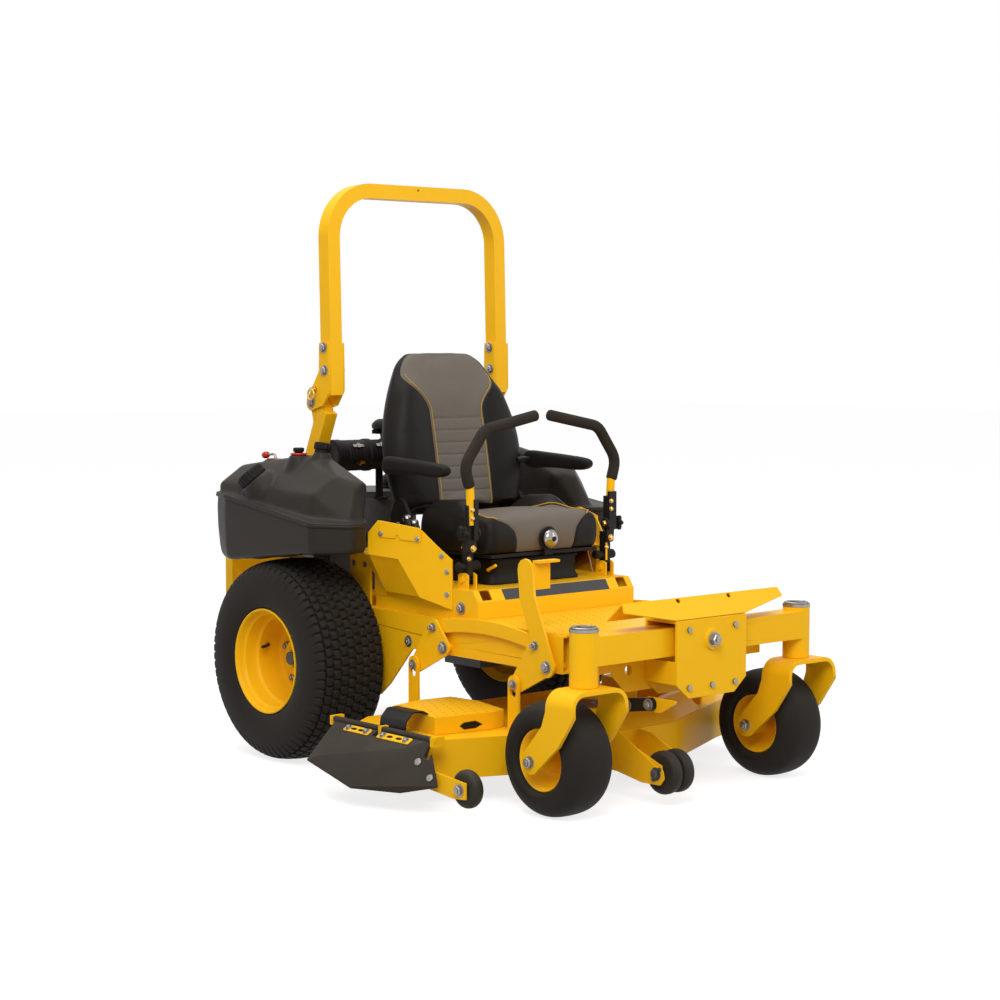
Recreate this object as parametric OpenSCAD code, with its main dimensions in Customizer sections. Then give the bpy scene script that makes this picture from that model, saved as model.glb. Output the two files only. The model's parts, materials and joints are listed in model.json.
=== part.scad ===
// Zero turn mower, front towards -Y, operator's right at -X, standing on Z = 0.
// The origin lies on the ground, on the middle plane, below the rear axle.

/* [Rear wheels] */
// Radius of the rear tyre
rear_tyre_r = 306; // [296:1:312]
// Width of the rear tyre
rear_tyre_w = 266; // [250:1:268]
// Distance between the middle planes of the rear tyres
rear_track = 944; // [942:1:980]
// Radius of the rear rim's flange, where the bead sits
rear_rim_r = 158; // [145:1:170]
// Radius of the rear axle stubs
rear_axle_r = 20; // [16:1:26]
// Number of nuts on each rear wheel
wheel_nuts = 5; // [4:1:6]

/* [Casters] */
// Radius of the caster tyre
caster_r = 157.5; // [150:0.5:162]
// Width of the caster tyre
caster_w = 160; // [150:1:170]
// Distance between the two caster swivels
caster_track = 843; // [835:1:860]
// Distance from the rear axle to the caster swivels
wheelbase = 1226; // [1215:1:1240]
// How far the caster axle trails behind its swivel
caster_trail = 99; // [90:1:104]
// Radius of the caster rim's flange
caster_rim_r = 84; // [76:1:95]
// Radius of the caster axle bolt
caster_axle_r = 10; // [8:1:14]
// Thickness of the fork strap
fork_t = 12; // [8:1:14]
// Free height between caster tyre and fork strap
fork_room = 32; // [28:1:40]
// Radius of the fork's swivel spindle
spindle_r = 19; // [14:1:24]
// Outer radius of the swivel tube
swivel_tube_r = 39; // [39:1:48]
// Height of the swivel tube
swivel_tube_h = 148; // [140:1:160]
// Height of the bearing cap on the swivel tube
cap_h = 11; // [8:1:16]

/* [Front axle] */
// Height of the axle beam
beam_h = 78; // [66:1:84]
// Depth of the axle beam, front to back
beam_d = 76; // [64:1:80]
// Wall of the axle beam
beam_wall = 6; // [4:1:9]
// Radius of the bolt that the axle rocks on
rock_bolt_r = 11; // [9:1:14]
// Width of the housing in front
housing_w = 276; // [240:2:290]
// Thickness of the housing's plates
housing_t = 8; // [6:1:10]

/* [Frame] */
// Gap between a frame rail and the rear tyre
wheel_gap = 8; // [7:1:13]
// Width of a frame rail
rail_w = 40; // [34:1:50]
// Underside of the frame rails above the ground
rail_z = 362; // [356:1:366]
// Height of the frame rails
rail_h = 104; // [98:1:112]
// Wall of the frame tubes
tube_wall = 5; // [3:1:7]
// Distance of the rails' rear ends behind the rear axle
frame_rear = 560; // [540:1:590]
// Thickness of the bumper, front to back
bumper_t = 40; // [30:1:50]
// Top of the bumper above the ground
bumper_top = 560; // [530:1:590]
// Radius of the hitch hole
hitch_r = 8; // [6:0.5:13]
// Thickness of the floor plate
floor_t = 6; // [4:1:8]
// Wall of the seat console
console_t = 4; // [3:1:6]
// How far the seat console's sides stand in from the rails
console_step = 18; // [16:1:26]
// Thickness of the fender sheet
fender_t = 4; // [3:1:6]

/* [Rollover hoop] */
// How far the middle of a hoop leg stands out from the rail
hoop_step = 3; // [-3:1:9]
// Width of the hoop tube, side to side
hoop_w = 45; // [40:1:48]
// Depth of the hoop tube, front to back
hoop_d = 50; // [44:1:54]
// Wall of the hoop tube
hoop_wall = 5; // [3:1:7]
// Height of the hoop's top above the ground
hoop_top = 1758; // [1700:2:1800]
// Outer radius of the hoop's bends
hoop_bend = 170; // [140:2:200]
// Thickness of the hoop's hinge plates
hinge_plate_t = 8; // [6:1:10]
// Radius of the hoop's hinge bolts
hinge_bolt_r = 8; // [6:1:10]
// Radius of the hoop's lock pins
lock_pin_r = 6; // [5:0.5:8]
// Radius of the small hole through the middle of the hoop's top
beacon_hole_r = 4; // [3:0.5:6]

/* [Levers] */
// Distance from the middle plane to a lever's middle
lever_x = 276; // [270:1:282]
// Width of a lever's lower arm
lever_w = 25; // [20:1:28]
// Depth of a lever's lower arm
lever_d = 24; // [20:1:26]
// Radius of the lever's tube
lever_tube_r = 12.5; // [10:0.5:13]
// Radius of the soft grip
grip_r = 16.5; // [15:0.5:18]
// Radius of the lever's pivot bolts
lever_pin_r = 6; // [5:0.5:8]

/* [Seat] */
// Width of the seat cushion
cushion_w = 452; // [430:2:460]
// Height of the cushion at its crown
cushion_h = 118; // [105:1:125]
// Width of the backrest at its widest
back_w = 520; // [480:2:526]
// Thickness of the backrest
back_t = 96; // [80:1:104]
// Length of the backrest
back_l = 530; // [510:1:550]
// Width of an armrest
armrest_w = 40; // [34:1:44]
// Radius of the knob at the front of the seat
knob_r = 27; // [22:1:32]
// Radius of the armrest pivots
armrest_pin_r = 8; // [6:1:10]

/* [Tanks] */
// How far the tanks' inner walls stand out from the rails
tank_step = 33; // [31:1:39]
// Distance from the middle plane to the outer wall of a tank
tank_out = 600; // [585:1:606]
// Radius of the rounded edges of a tank's upper part
tank_round = 22; // [16:1:28]
// Radius of a fuel cap
fuel_cap_r = 46; // [45:1:52]
// Height of a fuel cap
fuel_cap_h = 34; // [28:1:40]

/* [Engine] */
// Radius of the cooling housing on top of the engine
blower_r = 185; // [165:1:195]
// Radius of the air cleaner's canister
cleaner_r = 48; // [42:1:54]
// Radius of the silencer
silencer_r = 62; // [52:1:70]
// Radius of the pulley below the engine
engine_pulley_r = 72; // [60:1:80]
// Radius of the engine's output shaft
output_shaft_r = 14; // [11:1:18]

/* [Deck] */
// Height of the deck's top plate above the ground, at rest
deck_top = 185; // [182:1:190]
// Depth of the deck's skirt
deck_depth = 110; // [100:1:114]
// Thickness of the deck's plates
deck_t = 5; // [4:1:7]
// Distance from the middle plane to the deck's side walls
deck_side = 640; // [634:1:648]
// Length of a blade from its middle to its tip
blade_r = 208; // [195:1:210]
// Distance from the middle plane to the outer blade spindles
outer_spindle_x = 405; // [402:1:412]
// Radius of the blade spindles
blade_shaft_r = 12.5; // [10:0.5:16]
// Radius of the spindle pulleys
spindle_pulley_r = 68; // [60:1:72]
// Height of the belt covers
belt_cover_h = 50; // [46:1:54]
// Radius of the chute's hinge rod
chute_rod_r = 5; // [4:0.5:6]
// Radius of the guide wheels at the deck's corners
side_wheel_r = 52; // [46:1:54]
// Width of the guide wheels at the deck's corners
side_wheel_w = 40; // [34:1:42]
// Radius of the twin rollers at the deck's nose
nose_roller_r = 60; // [52:1:64]
// Width of each of the twin rollers
nose_roller_w = 38; // [30:1:42]

/* [Lift] */
// Radius of the two cross shafts of the deck lift
lift_shaft_r = 12; // [9:1:13]
// Thickness of the lift's plates
lift_plate_t = 8; // [6:1:9]
// Radius of the lift's pins
lift_pin_r = 7; // [5:0.5:8]
// Half the width of the lift's links
link_half = 20; // [15:1:22]

/* [Clearances] */
// Running clearance of shafts and pins, on the radius
run_clear = 0.06; // [0.03:0.01:0.09]
// Gap between pieces that rest close together
seat_gap = 0.3; // [0.3:0.1:0.6]
// Gap between pieces that pass each other
pass_gap = 3; // [2:0.5:4]

/* [Hidden] */
$fn = 48;

yellow = [0.98, 0.72, 0.08];
charcoal = [0.18, 0.17, 0.16];
rubber = [0.11, 0.11, 0.11];
steel = [0.72, 0.72, 0.74];
taupe = [0.36, 0.34, 0.32];
red = [0.8, 0.1, 0.08];

// Rear axle and tyres
axle_z = rear_tyre_r;
rear_wheel_x = rear_track / 2;
tyre_top = 2 * rear_tyre_r;
rear_rim_half = rear_tyre_w / 2 - 18;
dish_x = -30;
hub_r = 58;
nut_circle = 80;

// Casters and their forks
caster_x = caster_track / 2;
swivel_y = -wheelbase;
caster_y = swivel_y + caster_trail;
fork_top = 2 * caster_r + fork_room + fork_t;
fork_in = caster_w / 2 + 10;
fork_out = fork_in + fork_t;
fork_bend = 46;
tube_z0 = fork_top + seat_gap;
tube_z1 = tube_z0 + swivel_tube_h;
cap_top = tube_z1 + cap_h;
beam_z = tube_z0 + 97;
beam_y = swivel_y;
caster_rim_half = caster_w / 2 - 20;

// Housing in front of the beam, open at both sides where the beam rocks
rock_room = 14;
housing_y1 = beam_y + beam_d / 2 + pass_gap + 8;
housing_y0 = beam_y - beam_d / 2 - pass_gap - 16;
housing_front = housing_y0 - housing_t;
housing_rear = housing_y1 + housing_t;
housing_z1 = beam_z + beam_h / 2 + rock_room + 6;
housing_z0 = housing_z1 - 215;
housing_half = housing_w / 2;

// Frame
rail_x = rear_wheel_x - rear_tyre_w / 2 - wheel_gap;
rail_in = rail_x - rail_w;
rail_top = rail_z + rail_h;
frame_front = -1045;
floor_top = rail_top + floor_t;
shelf_z = tyre_top + 34;
shelf_y0 = -185;
shelf_y1 = -85;
axle_hole_r = 46;
hitch_t = 10;
hitch_y = frame_rear + bumper_t + 70;
hitch_z = rail_z - 20;

// Seat console
console_half = rail_x - console_step;
console_front = -667;
console_rear = -190;
console_top = 556;
console_base = rail_top;

// Rollover hoop and its posts
hoop_x = rail_x + hoop_step;
post_lean = 24;
post_w = hoop_w - 2 * seat_gap - 0.4;
post_mid = [79, 934];
post_low = 545;
hinge_y = 65;
hinge_z = 1083;
hoop_low = 1106;
hoop_lean = -1.5;
hoop_foot_y = -3;
lug_r = 22;
lock_y = 47;
lock_z = 1124;

// Levers
lever_y = -578;
lever_z = 580;
swing_z = 672;
lever_front = lever_y - lever_d / 2;
handle_t = 12;
handle_y = lever_front - seat_gap - handle_t / 2;
tab_t = 5;
grip_low = [lever_x + 7, handle_y, 848];
grip_elbow = [lever_x + 27, handle_y, 911];
grip_bend = [lever_x - 49, handle_y, 1014];
grip_end = [22, handle_y, 1053];

// Seat
base_z = console_top + seat_gap;
bellows_ribs = 5;
rib_h = 11;
slide_z = base_z + 10 + bellows_ribs * rib_h + 8;
pan_z = slide_z + 9 + seat_gap;
pan_t = 10;
cushion_z = pan_z + pan_t + seat_gap;
cushion_front = -619;
cushion_rear = -272;
recline_y = -212;
recline_z = 715;
back_lean = -12.5;
knob_z = cushion_z + 38;
apron_y = cushion_front - seat_gap;
armrest_x = back_w / 2 + 6;
armrest_pin = [-236, 898];

// Deck, its blades and what hangs on it
deck_low = deck_top - deck_depth;
outer_spindle_y = -640;
inner_spindle_y = -830;
blade_z = deck_low + 24;
pulley_z = deck_top + 14;
chute_rod = [-(deck_side + 13), deck_top + 12];
side_wheel_x = deck_side + 8;
side_wheel_y = -1020;
side_wheel_z = 86;
wheel_arm_x = side_wheel_x + side_wheel_w / 2 + 4;
wheel_arm_t = 6;
wheel_arm_top = deck_top - 62;
wheel_axle_r = 8;
nose_x = -105;
nose_y = -1236;
nose_z = 94;
nose_gap = 8;

// Lift
link_x0 = rail_x + 7;
link_x1 = link_x0 + lift_plate_t;
crank_x0 = link_x1 + pass_gap;
crank_x1 = crank_x0 + lift_plate_t;
hanger_x0 = crank_x1 + pass_gap;
hanger_x1 = hanger_x0 + lift_plate_t;
front_pivot = [-1007, rail_z + 18];
rear_pivot = [-563, rail_z + 24];
crank_link = [46, 54.5];
crank_low = [122, -61];
crank_r = 25;
slot_room = 4.5;
slot_shift = 3;
hanger_half = 22;

// Tanks
tank_in = rail_x + tank_step;
tank_floor = shelf_z;
tank_ledge = tank_floor + 96;
cap_spot = [tank_out - 57, 104, 841];
cap_tilt = [-26, 32];
neck_r = fuel_cap_r - 9;

// Engine
engine_y = 300;
engine_plate_z = rail_top;
crank_low_z = rail_z - 60;

// Shared shapes
module both() {
    children();
    mirror([1, 0, 0]) children();
}

module on_right() {
    mirror([1, 0, 0]) children();
}

module block(lo, hi) {
    translate(lo) cube(hi - lo);
}

module plate_x(x0, x1, outline) {
    translate([x0, 0, 0]) rotate([90, 0, 90]) linear_extrude(x1 - x0) polygon(outline);
}

module plate_y(y0, y1, outline) {
    translate([0, y1, 0]) rotate([90, 0, 0]) linear_extrude(y1 - y0) polygon(outline);
}

module plate_z(z0, z1, outline) {
    translate([0, 0, z0]) linear_extrude(z1 - z0) polygon(outline);
}

module rod_x(x0, x1, at, r) {
    translate([x0, at[0], at[1]]) rotate([0, 90, 0]) cylinder(h = x1 - x0, r = r);
}

module rod_y(y0, y1, at, r) {
    translate([at[0], y1, at[1]]) rotate([90, 0, 0]) cylinder(h = y1 - y0, r = r);
}

module rod_z(z0, z1, at, r) {
    translate([at[0], at[1], z0]) cylinder(h = z1 - z0, r = r);
}

module along(from, to) {
    run = to - from;
    translate(from) rotate([0, acos(run[2] / norm(run)), atan2(run[1], run[0])]) children();
}

module bar(from, to, r) {
    along(from, to) cylinder(h = norm(to - from), r = r);
}

// A round elbow at the start of a bar
module elbow(from, to, r) {
    along(from, to) sphere(r = r + 0.4);
}

// A hexagon bolt head or nut on the end of a rod along X
module hex_x(x0, x1, at, r) {
    translate([x0, at[0], at[1]]) rotate([0, 90, 0]) cylinder(h = x1 - x0, r = r, $fn = 6);
}

module hex_y(y0, y1, at, r) {
    translate([at[0], y1, at[1]]) rotate([90, 0, 0]) cylinder(h = y1 - y0, r = r, $fn = 6);
}

module hex_z(z0, z1, at, r) {
    translate([at[0], at[1], z0]) cylinder(h = z1 - z0, r = r, $fn = 6);
}

// Wheel profiles are drawn as radius against width and turned about X
module turned_x(x) {
    translate([x, 0, 0]) rotate([0, 90, 0]) rotate_extrude($fn = 96) children();
}

// Points on an arc
function arc(at, r, from, to, steps = 8) =
    [for (i = [0 : steps]) at + r * [cos(from + (to - from) * i / steps),
        sin(from + (to - from) * i / steps)]];

function edge_normal(a, b) = atan2(b[1] - a[1], b[0] - a[0]) - 90;

function past(a, b) = b < a ? b + 360 : b;

// Outline of a counter-clockwise convex row of points, swollen by a radius with round corners
function swell(points, r, steps = 6) = [
    for (i = [0 : len(points) - 1])
        let (prev = points[(i + len(points) - 1) % len(points)], next = points[(i + 1) % len(points)],
            a = edge_normal(prev, points[i]), b = past(a, edge_normal(points[i], next)))
            each arc(points[i], r, a, b, steps)
];

function unit(v) = v / norm(v);

// Outline of a counter-clockwise polygon, moved inwards by a wall
function inset(points, wall) = [
    for (i = [0 : len(points) - 1])
        let (prev = points[(i + len(points) - 1) % len(points)], next = points[(i + 1) % len(points)],
            u = unit(points[i] - prev), v = unit(next - points[i]), turn = u[0] * v[1] - u[1] * v[0],
            slide = wall * (1 - u * v) / turn)
            points[i] + wall * [-u[1], u[0]] - slide * u
];

// The middle of a ring's points
function middle(ring) = [for (k = [0 : 2]) ([for (p = ring) 1] * [for (p = ring) p[k]]) / len(ring)];

// A closed solid through rings of equally many points
module loft(rings) {
    n = len(rings[0]);
    m = len(rings);
    sides = [for (i = [0 : m - 2], j = [0 : n - 1])
        each [[i * n + j, (i + 1) * n + j, (i + 1) * n + (j + 1) % n],
            [i * n + j, (i + 1) * n + (j + 1) % n, i * n + (j + 1) % n]]];
    first = [for (j = [0 : n - 1]) [m * n, j, (j + 1) % n]];
    last = [for (j = [0 : n - 1]) [m * n + 1, (m - 1) * n + (j + 1) % n, (m - 1) * n + j]];
    polyhedron(points = concat([for (ring = rings) each ring], [middle(rings[0]), middle(rings[m - 1])]),
        faces = concat(sides, first, last), convexity = 6);
}

// Frame
axle_plate = [[-403, rail_top - 26], [-403, rail_z + 16], [-279, 244], [-232, 206], [110, 206],
    [190, rail_z], [190, rail_top - 26]];

module frame_rails() {
    color(yellow)
    difference() {
        union() {
            both() {
                block([rail_in, frame_front, rail_z], [rail_x, frame_rear, rail_top]);
                plate_x(rail_x - tube_wall - 3, rail_x, axle_plate);
                block([170, housing_rear, rail_z + 40], [210, frame_front + 40, rail_top]);
            }
            block([-rail_in - 1, frame_front, rail_z + 40], [rail_in + 1, frame_front + 40, rail_top]);
            block([-rail_in - 1, -760, rail_z + 50], [rail_in + 1, -710, rail_top]);
            block([-rail_in - 1, -190, rail_z + 50], [rail_in + 1, -150, rail_top]);
        }
        both() {
            block([rail_in + tube_wall, frame_front - 1, rail_z + tube_wall],
                [rail_x - tube_wall, frame_rear + 1, rail_top - tube_wall]);
            rod_x(rail_x - 20, rail_x + 1, [0, axle_z], axle_hole_r + 1);
        }
        for (pivot = [front_pivot, rear_pivot])
            rod_x(-rail_x - 1, rail_x + 1, pivot, lift_shaft_r + run_clear);
    }
}

module rear_frame() {
    color(yellow)
    difference() {
        union() {
            both() {
                block([rail_in, frame_rear, hitch_z], [rail_x, frame_rear + bumper_t, bumper_top]);
                block([rail_x - 8, shelf_y0, rail_top], [rail_x, shelf_y1, shelf_z]);
                block([rail_x - 8, shelf_y0, shelf_z - 7], [tank_in + 110, shelf_y1, shelf_z]);
            }
            block([-rail_in, frame_rear, bumper_top - 60], [rail_in, frame_rear + bumper_t, bumper_top]);
            block([-rail_in, frame_rear, hitch_z], [rail_in, frame_rear + bumper_t, rail_z + 30]);
            block([-rail_in, 110, engine_plate_z - 8], [rail_in, frame_rear, engine_plate_z]);
            plate_z(hitch_z, hitch_z + hitch_t, [[-80, frame_rear + 10], [80, frame_rear + 10],
                [50, hitch_y + 26], [-50, hitch_y + 26]]);
        }
        rod_z(hitch_z - 1, hitch_z + hitch_t + 1, [0, hitch_y], hitch_r);
        rod_z(engine_plate_z - 20, engine_plate_z + 1, [0, engine_y], output_shaft_r + 30);
        both() rod_z(shelf_z - 20, shelf_z + 1, [tank_in + 90, shelf_y1 - 24], 9);
    }
}

// The housing's front plate is narrower at its lower corners
housing_plate = [[-housing_half, housing_z0 + 40], [-housing_half + 48, housing_z0],
    [housing_half - 48, housing_z0],
    [housing_half, housing_z0 + 40], [housing_half, housing_z1], [-housing_half, housing_z1]];
beam_room = beam_h / 2 + rock_room;

module front_housing() {
    color(yellow) {
        difference() {
            union() {
                plate_y(housing_front, housing_y0, housing_plate);
                plate_y(housing_y1, housing_rear, housing_plate);
                block([-housing_half, housing_front, housing_z1 - housing_t],
                    [housing_half, housing_rear, housing_z1]);
                both() block([housing_half - housing_t, housing_front, housing_z0 + 40],
                    [housing_half, housing_rear, beam_z - beam_room]);
                rod_y(housing_front - 6, housing_front + 1, [0, beam_z], rock_bolt_r + 18);
            }
            rod_y(housing_front - 7, housing_rear + 1, [0, beam_z], rock_bolt_r);
        }
    }
    color(steel) {
        rod_y(housing_front - 8, housing_rear + 8, [0, beam_z], rock_bolt_r);
        hex_y(housing_front - 20, housing_front - 6, [0, beam_z], rock_bolt_r + 5);
        hex_y(housing_rear, housing_rear + 14, [0, beam_z], rock_bolt_r + 5);
    }
}

floor_outline = [[-rail_x, console_front - 3], [-rail_x, -1010], [-262, housing_rear + seat_gap],
    [262, housing_rear + seat_gap], [rail_x, -1010], [rail_x, console_front - 3]];
skirt_half = 262;
skirt_low = rail_z - 46;

module floor_pan() {
    color(yellow)
    difference() {
        union() {
            plate_z(rail_top, floor_top, floor_outline);
            plate_y(housing_rear + seat_gap, housing_rear + seat_gap + floor_t,
                [[-skirt_half, skirt_low + 50],
                [-skirt_half + 50, skirt_low], [skirt_half - 50, skirt_low], [skirt_half, skirt_low + 50],
                [skirt_half, rail_top + 1], [-skirt_half, rail_top + 1]]);
        }
        rod_y(housing_rear - 1, housing_rear + 20, [0, beam_z], rock_bolt_r + 14);
        both() {
            rod_y(housing_rear - 1, housing_rear + 20, [200, skirt_low + 60], 14);
            block([169, housing_rear - 1, rail_z + 39], [211, housing_rear + 20, rail_top]);
        }
    }
}

// Foot rest on the housing: wide at its upper edge, as wide as the housing below
kick_h = 56;
kick_back = 36;
kick_half = 313;
kick_t = 5;
kick_lean = atan(kick_back / kick_h);

module kick_plate() {
    color(yellow)
    translate([0, housing_front + 2, housing_z1])
    union() {
        translate([0, 0, kick_t / 2 + 0.5]) rotate([-kick_lean, 0, 0])
        difference() {
            plate_y(0, kick_t, [[-housing_half, 0], [housing_half, 0], [kick_half, 38], [kick_half - 6, 66],
                [-kick_half + 6, 66], [-kick_half, 38]]);
            both() plate_y(-1, kick_t + 1, [[92, 54], [100, 48], [108, 54], [108, 67], [92, 67]]);
        }
        both() plate_x(housing_half - 16, housing_half - 10, [[4, 0], [70, 0], [kick_back + 6, 46],
            [kick_back - 6, 46]]);
    }
}

// Seat console with the lever tabs on its top
console_profile = [[console_front, console_base], [console_rear, console_base], [console_rear, console_top],
    [console_front + 22, console_top - 2], [console_front, console_top - 35]];
console_hollow = [[console_front + console_t, console_base - 1],
    [console_rear - console_t, console_base - 1],
    [console_rear - console_t, console_top - console_t], [console_front + 24, console_top - console_t - 2],
    [console_front + console_t, console_top - console_t - 33]];
tab_x0 = lever_x - lever_w / 2 - seat_gap - tab_t;
tab_x1 = lever_x + lever_w / 2 + seat_gap;

module seat_console() {
    color(yellow) {
        difference() {
            plate_x(-console_half, console_half, console_profile);
            plate_x(-console_half + console_t, console_half - console_t, console_hollow);
            both() block([console_half - 60, console_front + 2, console_top - 30],
                [console_half - 22, console_front + 40, console_top + 1]);
        }
        both()
        difference() {
            for (x = [tab_x0, tab_x1])
                plate_x(x, x + tab_t, [[lever_y - 22, console_top - 3], [lever_y + 22, console_top - 3],
                    [lever_y + 22, lever_z + 14], [lever_y + 10, lever_z + 20],
                    [lever_y - 10, lever_z + 20], [lever_y - 22, lever_z + 14]]);
            rod_x(tab_x0 - 1, tab_x1 + tab_t + 1, [lever_y, lever_z], lever_pin_r);
        }
    }
    color(steel)
    both() {
        rod_x(tab_x0 - 7, tab_x1 + tab_t + 7, [lever_y, lever_z], lever_pin_r);
        hex_x(tab_x0 - 6, tab_x0, [lever_y, lever_z], lever_pin_r + 4);
        hex_x(tab_x1 + tab_t, tab_x1 + tab_t + 6, [lever_y, lever_z], lever_pin_r + 4);
    }
}

// Side panel that runs outwards from the console to the tank
fender_front = [console_half, -556];
fender_turn = atan2(290, 112);
fender_outline = [[0, 492], [110, 523], [183, 632], [286, shelf_z - 4], [286, 706], [252, 744], [103, 720],
    [49, 675], [0, 638]];
fender_top_z = shelf_z - 6;

module fender_panel() {
    translate([fender_front[0], fender_front[1], 0]) rotate([0, 0, fender_turn])
        plate_y(-fender_t, 0, fender_outline);
    plate_z(fender_top_z - fender_t, fender_top_z, [[console_half + 8, -540], [tank_in + 43, -320],
        [tank_in + 43, -260], [tank_in - 6, shelf_y0 - seat_gap], [console_half, shelf_y0 - seat_gap],
        [console_half, -540]]);
    block([console_half, -556, 500], [console_half + fender_t, -500, 632]);
    block([console_half, -240, console_top - 50], [console_half + fender_t, console_rear, fender_top_z]);
}

module fender_panels() {
    color(yellow) both() fender_panel();
}

// Leaning posts of the hoop, each with a lug behind its top for the hinge bolt
module rops_post() {
    difference() {
        union() {
            translate([hoop_x, post_mid[0], post_mid[1]]) rotate([post_lean, 0, 0])
                block([-post_w / 2, -hoop_d / 2, (post_low - post_mid[1]) / cos(post_lean)],
                    [post_w / 2, hoop_d / 2, 136]);
            plate_x(hoop_x - post_w / 2 + 1, hoop_x + post_w / 2 - 1,
                concat(arc([hinge_y, hinge_z], lug_r, -40, 120), [[20, 1062], [60, 990]]));
            plate_x(rail_x - 18, rail_x, [[150, rail_top], [350, rail_top], [310, 560], [222, 640],
                [196, 600]]);
        }
        translate([hoop_x, post_mid[0], post_mid[1]]) rotate([post_lean, 0, 0])
            block([-post_w / 2 + hoop_wall, -hoop_d / 2 + hoop_wall, -700],
                [post_w / 2 - hoop_wall, hoop_d / 2 - hoop_wall, 90]);
        rod_x(hoop_x - hoop_w, hoop_x + hoop_w, [hinge_y, hinge_z], hinge_bolt_r + run_clear);
    }
}

module rops_posts() {
    color(yellow) both() rops_post();
}

// Fuel tank: a lower body that clears the tyre and a rounded upper body
tank_plan = [[tank_in, -190], [tank_in + 6, -200], [tank_in + 74, -306], [tank_out - 92, -338],
    [tank_out, -250],
    [tank_out, 190], [tank_out - 26, 268], [tank_out - 96, 306], [tank_in, 306]];
tank_side = [[-340, tank_floor], [shelf_y1 + 3, tank_floor], [-30, tank_floor - 8], [70, tank_floor - 22],
    [130, tank_floor - 46], [240, tank_floor - 46], [292, tank_floor - 10], [306, tank_floor + 60],
    [306, tank_ledge + 66], [190, tank_ledge + 62], [-250, tank_ledge], [-340, tank_ledge - 6]];
tank_shoulder = [[tank_in + 26, -190, tank_ledge - 14], [tank_in + 84, -280, tank_ledge - 14],
    [tank_out - 106, -292, tank_ledge - 14], [tank_out - 44, -216, tank_ledge - 14],
    [tank_out - 44, 150, tank_ledge + 40], [tank_out - 110, 256, tank_ledge + 44],
        [tank_in + 26, 262, tank_ledge + 44]];
tank_crown = [[tank_in + 26, -180, 856], [tank_in + 60, -234, 847], [tank_out - 132, -230, 844],
    [tank_out - 54, -192, 784], [tank_out - 106, -104, 878], [tank_in + 26, -20, 912],
        [tank_in + 66, -4, 910],
    [tank_out - 112, 70, 872], [tank_in + 26, 190, 876], [tank_in + 80, 206, 866]];

module tank() {
    difference() {
        union() {
            intersection() {
                plate_x(tank_in, tank_out, tank_side);
                plate_z(tank_floor - 60, tank_ledge + 90, tank_plan);
            }
            hull()
                for (p = concat(tank_shoulder, tank_crown))
                    translate(p) sphere(r = tank_round, $fn = 16);
        }
        translate([tank_in, 0, 0])
            block([-60, -500, 0], [0, 300, 1000]);
        cap_place() translate([0, 0, 11]) cylinder(h = 80, r = fuel_cap_r + pass_gap);
    }
    cap_place() neck();
}

module cap_place() {
    translate(cap_spot) rotate([cap_tilt[0], cap_tilt[1], 0]) children();
}

module neck() {
    translate([0, 0, -40]) cylinder(h = 64, r = neck_r);
}

// Throttle slot and blade switch on the right tank
throttle_at = [432, 160, 906];
throttle_pin_r = 3;
throttle_drop = 10;
switch_at = [452, 12, 922];
switch_r = 12;
switch_stem_r = 7;

module tank_right() {
    color(charcoal) on_right() {
        difference() {
            union() {
                tank();
                block(throttle_at - [14, 34, 30], throttle_at + [14, 34, 2]);
                rod_z(switch_at[2] - 40, switch_at[2] + 4, switch_at, switch_r + 12);
            }
            block(throttle_at - [5, 28, 26], throttle_at + [5, 28, 60]);
            rod_z(switch_at[2] - 20, switch_at[2] + 5, switch_at, switch_stem_r + run_clear);
            rod_z(switch_at[2] + 4, switch_at[2] + 60, switch_at, switch_r + 12);
        }
        rod_x(throttle_at[0] - 13, throttle_at[0] + 13, [throttle_at[1], throttle_at[2] - throttle_drop],
            throttle_pin_r);
    }
}

module tank_left() {
    color(charcoal) tank();
}

module fuel_cap() {
    cap_place()
    difference() {
        translate([0, 0, 12]) cylinder(h = fuel_cap_h, r = fuel_cap_r);
        translate([0, 0, -1]) cylinder(h = 12 + fuel_cap_h - 8, r = neck_r + run_clear);
        for (a = [0 : 20 : 340])
            rotate([0, 0, a]) translate([fuel_cap_r + 2, 0, 10]) cylinder(h = fuel_cap_h - 4, r = 4.5);
    }
}

module fuel_cap_right() {
    color(charcoal) on_right() fuel_cap();
}

module fuel_cap_left() {
    color(charcoal) fuel_cap();
}

module throttle_lever() {
    pivot = [throttle_at[1], throttle_at[2] - throttle_drop];
    color(red) on_right()
    difference() {
        plate_x(throttle_at[0] - 3, throttle_at[0] + 3, swell([pivot, pivot + [30, 46]], 8));
        rod_x(throttle_at[0] - 6, throttle_at[0] + 6, pivot, throttle_pin_r + run_clear);
    }
}

module blade_switch() {
    color(red) on_right() {
        rod_z(switch_at[2] - 17, switch_at[2] + 8, switch_at, switch_stem_r);
        rod_z(switch_at[2] + 4 + seat_gap, switch_at[2] + 12, switch_at, switch_r);
        rod_z(switch_at[2] + 12, switch_at[2] + 26, switch_at, switch_r + 6);
    }
}

// Twin-cylinder engine with its shaft upright
module cylinder_bank(turn) {
    translate([0, engine_y, engine_plate_z + 100]) rotate([0, 0, turn]) {
        rotate([90, 0, 0]) cylinder(h = 190, r = 44);
        for (i = [0 : 7])
            translate([-62, -(96 + i * 11), -58]) cube([124, 5, 116]);
        translate([-56, -222, -52]) cube([112, 36, 104]);
    }
}

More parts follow.
